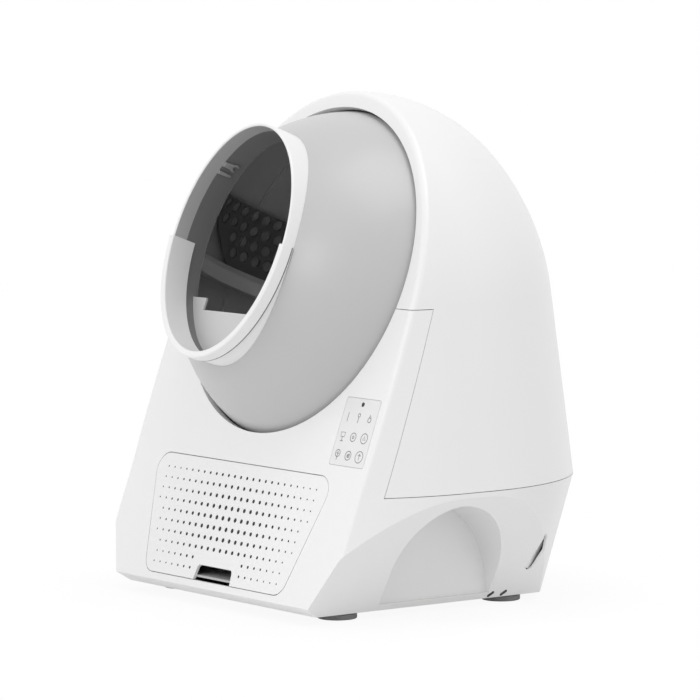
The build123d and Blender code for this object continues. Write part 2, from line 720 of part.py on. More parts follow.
def gear_outline(teeth, turn):
    """Spur gear outline with straight flanks; one tooth's middle points along turn."""
    pitch_r = GEAR_MODULE * teeth / 2
    tip_r = pitch_r + GEAR_MODULE
    root_r = pitch_r - 1.25 * GEAR_MODULE
    half = pi * GEAR_MODULE * TOOTH_SHARE / 2
    slope = tan(radians(20))
    half_tip = (half - GEAR_MODULE * slope) / tip_r
    half_root = (half + 1.25 * GEAR_MODULE * slope) / root_r
    points = []
    for tooth in range(teeth):
        angle = radians(turn) + 2 * pi * tooth / teeth
        for radius, swing in ((root_r, -half_root), (tip_r, -half_tip), (tip_r, half_tip), (root_r, half_root)):
            points.append((radius * cos(angle + swing), radius * sin(angle + swing)))
    return make_face(Polyline(points, close=True))


def mesh_direction():
    """Angle, seen along the drum's axis, from the drum's centre to the pinion."""
    return -90.0 + MESH_ANGLE


def ring_gear():
    """Toothed ring with a smooth roller track beside it, seated on the drum."""
    gap_turn = mesh_direction() + 180.0 / RING_TEETH
    teeth = Pos(0, 0, GEAR_BACK) * extrude(gear_outline(RING_TEETH, gap_turn), GEAR_W)
    track = Pos(0, 0, GEAR_BACK - TRACK_W) * extrude(Circle(TRACK_R), TRACK_W)
    return teeth + track - ball(DRUM_R)


def pinion_place():
    """Middle of the pinion's shaft where the ring gear's back face lies, in the drum's frame."""
    turn = radians(mesh_direction())
    return Pos(MESH_R * cos(turn), MESH_R * sin(turn), GEAR_BACK)


def drive_pinion():
    """Pinion on the motor shaft."""
    outline = gear_outline(PINION_TEETH, mesh_direction() + 180.0) - Circle(SHAFT_R)
    return pinion_place() * extrude(outline, GEAR_W)


def motor_shaft():
    """Output shaft from inside the gearbox through the pinion."""
    back = -TRACK_W - GEARBOX_L / 2
    return pinion_place() * Pos(0, 0, back) * extrude(Circle(SHAFT_R), GEAR_W - back)


def drive_motor():
    """Gearbox and motor can in line behind the pinion."""
    face = pinion_place() * Pos(0, 0, -TRACK_W)
    box = extrude(Circle(GEARBOX_R), -GEARBOX_L)
    box = fillet(box.edges(), 1.5)
    can = Pos(0, 0, -GEARBOX_L) * extrude(Circle(MOTOR_R), -MOTOR_L)
    bore = extrude(Circle(SHAFT_R + RUN_GAP), -GEARBOX_L / 2 - FIT_GAP)
    return face * (box + can - bore)


def motor_pedestal():
    """Saddle on the deck that the gearbox lies in."""
    place = DRUM * pinion_place()
    middle = place.position
    width = 2 * GEARBOX_R - 4 * WALL
    back = middle.Y + (TRACK_W + GEARBOX_L) * COS_T
    front = middle.Y + TRACK_W * COS_T
    top = middle.Z - TRACK_W * SIN_T
    column = block(middle.X - width / 2, middle.X + width / 2, front, back, DECK_TOP, top)
    column -= block(middle.X - width / 2 + WALL, middle.X + width / 2 - WALL, front + WALL, back - WALL,
                    DECK_TOP, DECK_TOP + (top - DECK_TOP) * 0.4)
    column -= place * Pos(0, 0, -BIG / 2) * extrude(Circle(GEARBOX_R), BIG)
    return column - DRUM * ball(DRUM_R + 3 * WALL)


# Drum supports

def roller_place(side):
    """Middle of a roller, in the drum's frame; side is -1 left or 1 right."""
    reach = TRACK_R + ROLLER_R + SLIDE_GAP
    turn = radians(ROLLER_ANGLE)
    return Pos(side * reach * sin(turn), -reach * cos(turn), ROLLER_MID)


def roller(side):
    """Support roller with softened edges and a bore for its pin."""
    wheel = extrude(Circle(ROLLER_R), ROLLER_W / 2, both=True)
    wheel = fillet(wheel.edges(), 1.0)
    return roller_place(side) * (wheel - Cylinder(ROLLER_PIN_R + RUN_GAP, 2 * ROLLER_W))


def roller_pin(side):
    """Pin through both cheeks of a roller bracket."""
    length = ROLLER_W + 2 * (CHEEK_GAP + CHEEK_T) + 2
    return roller_place(side) * Cylinder(ROLLER_PIN_R, length)


def roller_bracket(side):
    """Two leaning cheeks on a foot plate, cut level with the deck."""
    drop = DECK_TOP
    place = DRUM * roller_place(side)
    cheek = Circle(CHEEK_W / 2) + Pos(0, -drop / 2) * Rectangle(CHEEK_W, drop)
    cheek -= Circle(ROLLER_PIN_R)
    offset = ROLLER_W / 2 + CHEEK_GAP
    front = place * Pos(0, 0, offset) * extrude(cheek, CHEEK_T)
    rear = place * Pos(0, 0, -offset) * extrude(cheek, -CHEEK_T)
    shift = (place.position.Z - DECK_TOP) * tan(radians(TILT))
    foot_y = place.position.Y - shift
    half_l = (offset + CHEEK_T) / COS_T + CHEEK_T
    half_w = CHEEK_W / 2 + 2 * CHEEK_T
    plate = block(place.position.X - half_w, place.position.X + half_w, foot_y - half_l, foot_y + half_l,
                  DECK_TOP, DECK_TOP + CHEEK_T)
    return ((front + rear) & above(DECK_TOP)) + plate


def rear_place():
    """Middle of the rear bearing, in the drum's frame."""
    return Pos(0, 0, -DRUM_R - SPINDLE_FLANGE_T - SPINDLE_L / 2)


def rear_bush():
    """Plain bearing bush round the spindle."""
    ring = Circle(SPINDLE_R + RUN_GAP + BUSH_WALL) - Circle(SPINDLE_R + RUN_GAP)
    return DRUM * rear_place() * extrude(ring, PEDESTAL_T / 2, both=True)


def rear_pedestal():
    """Leaning upright on the deck that holds the rear bush."""
    place = DRUM * rear_place()
    drop = (place.position.Z - DECK_TOP) / COS_T + PEDESTAL_T
    half_top = PEDESTAL_TOP_W / 2
    half_foot = PEDESTAL_FOOT_W / 2
    outline = Circle(half_top) + make_face(Polyline(
        (-half_top, 0), (half_top, 0), (half_foot, -drop), (-half_foot, -drop), close=True))
    outline -= Circle(SPINDLE_R + RUN_GAP + BUSH_WALL)
    outline -= Pos(0, -drop * 0.6) * Circle(PEDESTAL_HOLE_R)
    return place * extrude(outline, PEDESTAL_T / 2, both=True) & above(DECK_TOP)


# Waste drawer

def hole_radius(share_x, share_s):
    """Perforations are largest in the middle of the drawer front and fade to its edges."""
    fade = min(1.0, hypot(share_x, 0.8 * share_s))
    return HOLE_MIN_R + (HOLE_MAX_R - HOLE_MIN_R) * (1 - fade ** 1.6)


def notch_outline():
    """Thumb notch at the bottom of the drawer front, on the front plane."""
    low = FACE_LOW_S - FACE_CORNER_R
    top = FACE_LOW_S + NOTCH_H
    outline = make_face(Polyline(
        (-NOTCH_TOP_HALF_W, top), (NOTCH_TOP_HALF_W, top),
        (NOTCH_LOW_HALF_W, low), (-NOTCH_LOW_HALF_W, low), close=True))
    upper = outline.vertices().group_by(Axis.Y)[-1]
    return fillet(upper, NOTCH_H / 4)


def drawer_fascia():
    """Perforated drawer front, flush with the front plane."""
    slab = FRONT * extrude(Rectangle(BIG, BIG), -FACE_T)
    plate = face_prism(FACE_GAP) & slab
    height = FACE_TOP_S - FACE_LOW_S
    row_pitch = (height - HOLE_TOP_MARGIN - HOLE_MARGIN) / (HOLE_ROWS - 1)
    holes = []
    for row in range(HOLE_ROWS):
        s = FACE_TOP_S - HOLE_TOP_MARGIN - row * row_pitch
        share = (s - FACE_LOW_S) / height
        half_w = FACE_LOW_HALF_W + (FACE_TOP_HALF_W - FACE_LOW_HALF_W) * share - HOLE_MARGIN
        count = int(half_w / HOLE_PITCH)
        for column in range(-count, count + 1):
            x = column * HOLE_PITCH
            if s < FACE_LOW_S + NOTCH_H + HOLE_MARGIN and abs(x) < NOTCH_LOW_HALF_W + HOLE_PITCH / 2:
                continue
            radius = hole_radius(x / half_w, 2 * share - 1)
            holes.append(Pos(x, s) * Circle(radius))
    pattern = FRONT * Pos(0, 0, -2 * FACE_T) * extrude(Sketch() + holes, 3 * FACE_T)
    notch = FRONT * Pos(0, 0, -2 * FACE_T) * extrude(notch_outline(), 3 * FACE_T)
    return plate - pattern - notch


def bin_solid(inset):
    """Tapered bin body; its front wall is upright."""
    front = from_opening(BIN_FRONT_Y) + inset
    rear = from_opening(BIN_REAR_Y) - inset
    middle = (front + rear) / 2
    depth = rear - front
    low = Pos(0, middle, BIN_Z) * RectangleRounded(2 * (BIN_LOW_HALF_W - inset), depth, BIN_R - inset)
    top = Pos(0, middle, BIN_TOP_Z) * RectangleRounded(2 * (BIN_TOP_HALF_W - inset), depth, BIN_R - inset)
    return loft([low, top])


def waste_bin():
    """Open bin of the drawer."""
    return bin_solid(0) - (bin_solid(BIN_WALL) & above(BIN_Z + BIN_WALL))


def bag_ring():
    """Loose frame on the bin's edge that holds the liner bag."""
    front = from_opening(BIN_FRONT_Y)
    rear = from_opening(BIN_REAR_Y)
    place = Pos(0, (front + rear) / 2, BIN_TOP_Z)
    outer = RectangleRounded(2 * BIN_TOP_HALF_W, rear - front, BIN_R)
    inner = RectangleRounded(2 * (BIN_TOP_HALF_W - BAG_RING_W), rear - front - 2 * BAG_RING_W, BIN_R / 2)
    return place * extrude(outer - inner, BAG_RING_T)


def drawer_frame():
    """Open box between the drawer front and the bin: a floor and two gussets."""
    front = front_y(BIN_Z) - WALL
    back = from_opening(BIN_FRONT_Y)
    half_w = BIN_LOW_HALF_W
    outer = block(-half_w, half_w, front, back, BIN_Z, FILTER_TOP_Z)
    inner = block(-half_w + BIN_WALL, half_w - BIN_WALL, front, back, BIN_Z + BIN_WALL, FILTER_TOP_Z)
    return (outer - inner) & behind_front(FACE_T)


def odour_filter():
    """Carbon pad that lies against the back of the perforated front."""
    slab = behind_front(FACE_T) - behind_front(FACE_T + FILTER_T)
    front = front_y(FILTER_LOW_Z)
    return slab & block(-FILTER_HALF_W, FILTER_HALF_W, front, from_opening(BIN_FRONT_Y), FILTER_LOW_Z, FILTER_TOP_Z)


def all_parts():
    """Every sub-part by its name."""
    upper, lower = housing_shells()
    parts = {
        "base_shell": base_shell(upper, lower),
        "dome_shell": dome_shell(upper),
        "rear_cover": rear_cover(upper),
        "chassis_deck": chassis_deck(),
        "chute_collar": chute_collar(),
        "drawer_bay_right": drawer_bay(),
        "drawer_bay_left": mirrored(drawer_bay()),
        "drawer_rail_right": drawer_rail(),
        "drawer_rail_left": mirrored(drawer_rail()),
        "control_panel": control_panel(),
        "panel_sensor": panel_sensor(),
        "control_board": control_board(),
        "power_inlet": power_inlet(),
        "drive_motor": DRUM * drive_motor(),
        "motor_pedestal": motor_pedestal(),
        "drive_pinion": DRUM * drive_pinion(),
        "motor_shaft": DRUM * motor_shaft(),
        "rear_bush": rear_bush(),
        "rear_pedestal": rear_pedestal(),
        "drum_front_shell": DRUM * drum_front_shell(),
        "drum_rear_shell": DRUM * drum_rear_shell(),
        "port_seal": DRUM * port_seal(),
        "ring_gear": DRUM * ring_gear(),
        "entry_collar": DRUM * entry_collar(),
        "rim_guard": DRUM * rim_guard(),
        "entry_weir": DRUM * entry_weir(),
        "sieve_panel": DRUM * sieve_panel(),
        "scoop_guide": DRUM * scoop_guide(),
        "rear_spindle": DRUM * rear_spindle(),
        "drawer_fascia": drawer_fascia(),
        "waste_bin": waste_bin(),
        "bag_ring": bag_ring(),
        "drawer_frame": drawer_frame(),
        "odour_filter": odour_filter(),
    }
    for side, name in ((-1, "left"), (1, "right")):
        parts["roller_" + name] = DRUM * roller(side)
        parts["roller_pin_" + name] = DRUM * roller_pin(side)
        parts["roller_bracket_" + name] = roller_bracket(side)
        for end in ("front", "rear"):
            parts["foot_" + end + "_" + name] = foot(side, end)
            parts["load_cell_" + end + "_" + name] = load_cell(side, end)
    return parts


os.makedirs("parts", exist_ok=True)
for node, shape in all_parts().items():
    export_step(shape, "parts/" + node + ".step")
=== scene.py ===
"""Looks of the self-cleaning litter box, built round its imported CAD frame."""

import json
import logging
import math
from dataclasses import dataclass, replace
from enum import Enum

import bpy
from mathutils import Matrix, Vector


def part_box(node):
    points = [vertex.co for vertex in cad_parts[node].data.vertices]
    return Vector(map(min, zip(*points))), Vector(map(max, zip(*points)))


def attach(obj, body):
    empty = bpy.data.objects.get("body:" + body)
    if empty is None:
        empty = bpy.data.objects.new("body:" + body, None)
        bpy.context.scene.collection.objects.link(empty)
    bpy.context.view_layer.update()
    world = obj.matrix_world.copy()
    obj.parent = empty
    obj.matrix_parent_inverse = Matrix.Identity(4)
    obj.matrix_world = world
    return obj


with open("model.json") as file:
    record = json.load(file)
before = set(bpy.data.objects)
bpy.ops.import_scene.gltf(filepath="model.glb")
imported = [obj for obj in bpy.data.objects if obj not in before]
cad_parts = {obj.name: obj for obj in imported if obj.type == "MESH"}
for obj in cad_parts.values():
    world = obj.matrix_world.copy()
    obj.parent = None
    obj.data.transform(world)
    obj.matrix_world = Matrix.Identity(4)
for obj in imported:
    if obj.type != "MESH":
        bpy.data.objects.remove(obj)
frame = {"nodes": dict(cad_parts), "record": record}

log = logging.getLogger("litter_box")
MM = 0.001

Colour = tuple[float, float, float, float]
Triple = tuple[float, float, float]
Point = tuple[float, float]


class Body(Enum):
    """Rigid bodies that a piece can ride on."""

    HOUSING = "housing"
    DRUM = "drum"
    DRAWER = "drawer"


class Surface(Enum):
    """Kinds of surface pattern."""

    MOULDED = "moulded"
    BRUSHED = "brushed"
    CELLULAR = "cellular"


@dataclass(frozen=True)
class Finish:
    """One finish: its two close colours, its gloss and the scale of its texture."""

    name: str
    low: Triple
    high: Triple
    rough_low: float = 0.30
    rough_high: float = 0.42
    grain: float = 900.0
    cloud: float = 6.0
    relief: float = 0.06
    dust: float = 0.0
    metallic: float = 0.0
    coat: float = 0.0
    specular: float = 0.5
    surface: Surface = Surface.MOULDED


def grey(value: float) -> Triple:
    """Neutral colour of one value.

    Args:
        value: its level, 0 to 1.

    Returns:
        The colour.
    """
    return (value, value, value)


FINISHES: dict[str, Finish] = {
    "white_shell": Finish("satin_white_moulding", grey(0.855), (0.88, 0.88, 0.876), dust=0.04, coat=0.12),
    "grey_drum": Finish("satin_grey_moulding", grey(0.52), grey(0.55), dust=0.04, coat=0.1),
    "dark_inner": Finish("dark_sieve_moulding", grey(0.13), grey(0.15), 0.45, 0.62, relief=0.12),
    "mid_inner": Finish("mid_grey_moulding", grey(0.44), grey(0.49), 0.42, 0.58, relief=0.1),
    "chassis": Finish("chassis_moulding", grey(0.26), grey(0.31), 0.45, 0.6, relief=0.12, dust=0.2),
    "soft_seal": Finish("seal_rubber", grey(0.06), grey(0.085), 0.6, 0.8, grain=1400.0, relief=0.14,
                        dust=0.1),
    "foot_rubber": Finish("foot_rubber", grey(0.26), grey(0.31), 0.62, 0.82, grain=1400.0, relief=0.14,
                          dust=0.2),
    "sensor_steel": Finish("brushed_sensor_steel", grey(0.45), grey(0.56), 0.26, 0.42, metallic=1.0,
                           surface=Surface.BRUSHED),
    "motor_metal": Finish("painted_motor_case", (0.09, 0.095, 0.105), (0.11, 0.115, 0.125), 0.3, 0.45,
                          dust=0.15),
    "nylon": Finish("natural_nylon", (0.60, 0.59, 0.53), (0.67, 0.66, 0.60), 0.36, 0.5, relief=0.08),
    "bush_bronze": Finish("sintered_bronze", (0.42, 0.25, 0.09), (0.52, 0.33, 0.13), 0.3, 0.5, metallic=1.0,
                          relief=0.16),
    "panel_face": Finish("panel_face_moulding", grey(0.78), grey(0.81), 0.22, 0.3, coat=0.3),
    "sensor_window": Finish("sensor_window_gloss", grey(0.008), grey(0.014), 0.06, 0.14, coat=0.6,
                            relief=0.02),
    "board_green": Finish("circuit_board", (0.012, 0.08, 0.03), (0.018, 0.11, 0.045), 0.3, 0.5),
    "socket_black": Finish("socket_black", grey(0.012), grey(0.02), 0.35, 0.5),
    "carbon_foam": Finish("carbon_foam", grey(0.012), grey(0.03), 0.8, 0.95, grain=700.0, relief=0.6,
                          surface=Surface.CELLULAR),
}

PANEL_INK = replace(FINISHES["sensor_window"], name="panel_ink", low=grey(0.16), high=grey(0.2), coat=0.0,
                    rough_low=0.4, rough_high=0.5)
# Grey of the rim's inner sleeve: partly its own greyer moulding, partly painted shade.
COLLAR_LINING_AND_SHADE = replace(FINISHES["grey_drum"], name="collar_lining", low=grey(0.47), high=grey(0.51),
                        dust=0.0)
# Darker grey deeper in the neck: partly its dark moulding, partly painted shade of the recess.
NECK_LINING_AND_SHADE = replace(FINISHES["dark_inner"], name="neck_lining", low=grey(0.18), high=grey(0.21))
CLIP_GREY = replace(FINISHES["grey_drum"], name="clip_moulding", low=grey(0.34), high=grey(0.38))
WEIR_GREY = replace(FINISHES["grey_drum"], name="weir_moulding", low=grey(0.6), high=grey(0.63))
# Dark colour of the strips that paint the shadow in the gaps under the guard and round the drawer front.
GAP_SHADOW_PAINT = replace(FINISHES["soft_seal"], name="guard_gasket", low=grey(0.1), high=grey(0.13))
SCOOP_GREY = replace(FINISHES["mid_inner"], name="scoop_moulding", low=grey(0.78), high=grey(0.82))
SCREEN_DARK = replace(FINISHES["carbon_foam"], name="front_screen", low=grey(0.03), high=grey(0.045))

NODE_FINISHES: dict[str, Finish] = {"entry_weir": WEIR_GREY, "scoop_guide": SCOOP_GREY}


class PatternGroups:
    """Shader node groups that the finishes share."""

    NOISE_SPAN: Point = (0.32, 0.68)
    DUST_SPAN: Point = (0.35, 1.0)
    STROKE_STRETCH: Triple = (0.06, 1.0, 1.0)

    def __init__(self) -> None:
        """Build each group once."""
        self.moulded = self._moulded()
        self.brushed = self._brushed()
        self.cellular = self._cellular()
        self.dust = self._dust()

    @staticmethod
    def _sockets(tree: bpy.types.NodeTree, inputs: dict[str, str], outputs: dict[str, str]) -> None:
        """Add named sockets to a group.

        Args:
            tree: the group's node tree.
            inputs: socket type for each input name.
            outputs: socket type for each output name.
        """
        for name, kind in inputs.items():
            tree.interface.new_socket(name=name, in_out="INPUT", socket_type=kind)
        for name, kind in outputs.items():
            tree.interface.new_socket(name=name, in_out="OUTPUT", socket_type=kind)

    def _surface_group(self, name: str) -> tuple[bpy.types.NodeTree, bpy.types.Node, bpy.types.Node]:
        """Start a surface group with the sockets that every surface kind has.

        Args:
            name: the group's name.

        Returns:
            The tree, its input node and its output node.
        """
        tree = bpy.data.node_groups.new(name, "ShaderNodeTree")
        self._sockets(
            tree,
            {"Vector": "NodeSocketVector", "Low": "NodeSocketColor", "High": "NodeSocketColor",
             "Cloud": "NodeSocketFloat", "Grain": "NodeSocketFloat",
             "Rough Low": "NodeSocketFloat", "Rough High": "NodeSocketFloat"},
            {"Colour": "NodeSocketColor", "Roughness": "NodeSocketFloat", "Height": "NodeSocketFloat"})
        return tree, tree.nodes.new("NodeGroupInput"), tree.nodes.new("NodeGroupOutput")

    @staticmethod
    def _noise(tree: bpy.types.NodeTree, vector: bpy.types.NodeSocket, scale: bpy.types.NodeSocket,
               detail: float) -> bpy.types.NodeSocket:
        """Noise factor at a scale that a group input gives.

        Args:
            tree: tree to add to.
            vector: coordinates.
            scale: scale socket.
            detail: octaves.

        Returns:
            The noise factor socket.
        """
        noise = tree.nodes.new("ShaderNodeTexNoise")
        noise.inputs["Detail"].default_value = detail
        tree.links.new(vector, noise.inputs["Vector"])
        tree.links.new(scale, noise.inputs["Scale"])
        return noise.outputs["Fac"]

    def _range(self, tree: bpy.types.NodeTree, value: bpy.types.NodeSocket, low: bpy.types.NodeSocket,
               high: bpy.types.NodeSocket) -> bpy.types.NodeSocket:
        """Value spread from noise's usual span to a low and a high end.

        Args:
            tree: tree to add to.
            value: noise factor.
            low: result at the low end.
            high: result at the high end.

        Returns:
            The spread value.
        """
        spread = tree.nodes.new("ShaderNodeMapRange")
        spread.inputs["From Min"].default_value = self.NOISE_SPAN[0]
        spread.inputs["From Max"].default_value = self.NOISE_SPAN[1]
        tree.links.new(value, spread.inputs["Value"])
        tree.links.new(low, spread.inputs["To Min"])
        tree.links.new(high, spread.inputs["To Max"])
        return spread.outputs["Result"]

    @staticmethod
    def _blend(tree: bpy.types.NodeTree, share: bpy.types.NodeSocket, low: bpy.types.NodeSocket,
               high: bpy.types.NodeSocket) -> bpy.types.NodeSocket:
        """Colour between two, by a share.

        Args:
            tree: tree to add to.
            share: 0 gives low and 1 gives high.
            low: first colour.
            high: second colour.

        Returns:
            The mixed colour.
        """
        mix = tree.nodes.new("ShaderNodeMix")
        mix.data_type = "RGBA"
        tree.links.new(share, mix.inputs["Factor"])
        tree.links.new(low, mix.inputs["A"])
        tree.links.new(high, mix.inputs["B"])
        return mix.outputs["Result"]

    def _moulded(self) -> bpy.types.NodeTree:
        """Moulded plastic: faint clouds in the colour, smears in the gloss, a fine spark-eroded grain."""
        tree, given, made = self._surface_group("moulded_surface")
        cloud = self._noise(tree, given.outputs["Vector"], given.outputs["Cloud"], 3.0)
        grain = self._noise(tree, given.outputs["Vector"], given.outputs["Grain"], 2.0)
        colour = self._blend(tree, cloud, given.outputs["Low"], given.outputs["High"])
        tree.links.new(colour, made.inputs["Colour"])
        rough = self._range(tree, cloud, given.outputs["Rough Low"], given.outputs["Rough High"])
        tree.links.new(rough, made.inputs["Roughness"])
        tree.links.new(grain, made.inputs["Height"])
        return tree

    def _brushed(self) -> bpy.types.NodeTree:
        """Brushed metal: long fine strokes in colour, gloss and height."""
        tree, given, made = self._surface_group("brushed_surface")
        stretch = tree.nodes.new("ShaderNodeMapping")
        stretch.inputs["Scale"].default_value = self.STROKE_STRETCH
        tree.links.new(given.outputs["Vector"], stretch.inputs["Vector"])
        stroke = self._noise(tree, stretch.outputs["Vector"], given.outputs["Grain"], 3.0)
        colour = self._blend(tree, stroke, given.outputs["Low"], given.outputs["High"])
        tree.links.new(colour, made.inputs["Colour"])
        rough = self._range(tree, stroke, given.outputs["Rough Low"], given.outputs["Rough High"])
        tree.links.new(rough, made.inputs["Roughness"])
        tree.links.new(stroke, made.inputs["Height"])
        return tree

    def _cellular(self) -> bpy.types.NodeTree:
        """Open foam: round cells with thin walls."""
        tree, given, made = self._surface_group("cellular_surface")
        cells = tree.nodes.new("ShaderNodeTexVoronoi")
        cells.feature = "SMOOTH_F1"
        tree.links.new(given.outputs["Vector"], cells.inputs["Vector"])
        tree.links.new(given.outputs["Grain"], cells.inputs["Scale"])
        wall = cells.outputs["Distance"]
        colour = self._blend(tree, wall, given.outputs["Low"], given.outputs["High"])
        tree.links.new(colour, made.inputs["Colour"])
        rough = self._range(tree, wall, given.outputs["Rough Low"], given.outputs["Rough High"])
        tree.links.new(rough, made.inputs["Roughness"])
        tree.links.new(wall, made.inputs["Height"])
        return tree

    def _dust(self) -> bpy.types.NodeTree:
        """Fine dust that settles in patches on faces that look up."""
        tree = bpy.data.node_groups.new("settled_dust", "ShaderNodeTree")
        self._sockets(
            tree,
            {"Vector": "NodeSocketVector", "Colour": "NodeSocketColor", "Dust": "NodeSocketColor",
             "Patch": "NodeSocketFloat", "Amount": "NodeSocketFloat"},
            {"Colour": "NodeSocketColor"})
        given = tree.nodes.new("NodeGroupInput")
        made = tree.nodes.new("NodeGroupOutput")
        place = tree.nodes.new("ShaderNodeNewGeometry")
        parts = tree.nodes.new("ShaderNodeSeparateXYZ")
        tree.links.new(place.outputs["Normal"], parts.inputs["Vector"])
        level = tree.nodes.new("ShaderNodeMapRange")
        level.inputs["From Min"].default_value = self.DUST_SPAN[0]
        level.inputs["From Max"].default_value = self.DUST_SPAN[1]
        tree.links.new(parts.outputs["Z"], level.inputs["Value"])
        patch = self._noise(tree, given.outputs["Vector"], given.outputs["Patch"], 5.0)
        share = tree.nodes.new("ShaderNodeMath")
        share.operation = "MULTIPLY"
        tree.links.new(level.outputs["Result"], share.inputs[0])
        tree.links.new(patch, share.inputs[1])
        scaled = tree.nodes.new("ShaderNodeMath")
        scaled.operation = "MULTIPLY"
        tree.links.new(share.outputs["Value"], scaled.inputs[0])
        tree.links.new(given.outputs["Amount"], scaled.inputs[1])
        result = self._blend(tree, scaled.outputs["Value"], given.outputs["Colour"], given.outputs["Dust"])
        tree.links.new(result, made.inputs["Colour"])
        return tree


class Paintshop:
    """Makes each finish's material once and puts it on pieces."""

    DUST: Colour = (0.52, 0.50, 0.46, 1.0)
    DUST_PATCH = 38.0
    RELIEF_DEPTH = 0.0004
    COAT_ROUGHNESS = 0.18

    def __init__(self, patterns: PatternGroups) -> None:
        """Keep the shared groups.

        Args:
            patterns: the shader groups.
        """
        self.patterns = patterns
        self.made: dict[str, bpy.types.Material] = {}

    def material(self, finish: Finish) -> bpy.types.Material:
        """Material of a finish.

        Args:
            finish: the finish.

        Returns:
            The material, made at its first use.
        """
        if finish.name not in self.made:
            self.made[finish.name] = self._make(finish)
        return self.made[finish.name]

    def _make(self, finish: Finish) -> bpy.types.Material:
        """Build the nodes of one finish.

        Args:
            finish: the finish.

        Returns:
            The new material.
        """
        material = bpy.data.materials.new(finish.name)
        material.use_nodes = True
        tree = material.node_tree
        shader = tree.nodes["Principled BSDF"]
        shader.inputs["Metallic"].default_value = finish.metallic
        shader.inputs["Coat Weight"].default_value = finish.coat
        shader.inputs["Coat Roughness"].default_value = self.COAT_ROUGHNESS
        shader.inputs["Specular IOR Level"].default_value = finish.specular
        place = tree.nodes.new("ShaderNodeTexCoord")
        surface = tree.nodes.new("ShaderNodeGroup")
        surface.node_tree = getattr(self.patterns, finish.surface.value)
        surface.inputs["Low"].default_value = (*finish.low, 1.0)
        surface.inputs["High"].default_value = (*finish.high, 1.0)
        surface.inputs["Cloud"].default_value = finish.cloud
        surface.inputs["Grain"].default_value = finish.grain
        surface.inputs["Rough Low"].default_value = finish.rough_low
        surface.inputs["Rough High"].default_value = finish.rough_high
        tree.links.new(place.outputs["Object"], surface.inputs["Vector"])
        colour = surface.outputs["Colour"]
        if finish.dust > 0:
            dust = tree.nodes.new("ShaderNodeGroup")
            dust.node_tree = self.patterns.dust
            dust.inputs["Dust"].default_value = self.DUST
            dust.inputs["Patch"].default_value = self.DUST_PATCH
            dust.inputs["Amount"].default_value = finish.dust
            tree.links.new(place.outputs["Object"], dust.inputs["Vector"])
            tree.links.new(colour, dust.inputs["Colour"])
            colour = dust.outputs["Colour"]
        bump = tree.nodes.new("ShaderNodeBump")
        bump.inputs["Strength"].default_value = finish.relief
        bump.inputs["Distance"].default_value = self.RELIEF_DEPTH
        tree.links.new(surface.outputs["Height"], bump.inputs["Height"])
        tree.links.new(colour, shader.inputs["Base Color"])
        tree.links.new(surface.outputs["Roughness"], shader.inputs["Roughness"])
        tree.links.new(bump.outputs["Normal"], shader.inputs["Normal"])
        return material

    def paint(self, piece: bpy.types.Object, finish: Finish) -> None:
        """Give a piece one finish all over.

        Args:
            piece: the object.
            finish: the finish.
        """
        piece.data.materials.clear()
        piece.data.materials.append(self.material(finish))


@dataclass
class CadNodes:
    """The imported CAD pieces, dressed by their material slots."""

    paintshop: Paintshop

    def dress(self) -> None:
        """Paint every CAD node with its own finish or its slot's."""
        for part in frame["record"]["subparts"]:
            node = frame["nodes"][part["node"]]
            self.paintshop.paint(node, NODE_FINISHES.get(part["node"], FINISHES[part["material_slot"]]))
            log.info("CAD node %s: %s", node.name, part["material_slot"])


@dataclass(frozen=True)
class Frames:
    """Leaning frames of the object, from the drum's joint in the record."""

    drum: Matrix
    front: Matrix

    @classmethod
    def read(cls, depth: float = 0.088) -> "Frames":
        """Work the frames out.

        Args:
            depth: how far the drum's centre lies behind the front plane.

        Returns:
            The drum's frame, with Z out along its axis, and the front plane's frame.
        """
        joints = {joint["name"]: joint for joint in frame["record"]["behaviour"]["joints"]}
        spin = joints["drum_spin"]
        out = Vector(spin["axis"])
        across = Vector((1.0, 0.0, 0.0))
        up = out.cross(across)
        turn = Matrix((across, up, out)).transposed().to_4x4()
        drum = Matrix.Translation(Vector(spin["pos_m"])) @ turn
        return cls(drum, drum @ Matrix.Translation((0.0, 0.0, depth)))


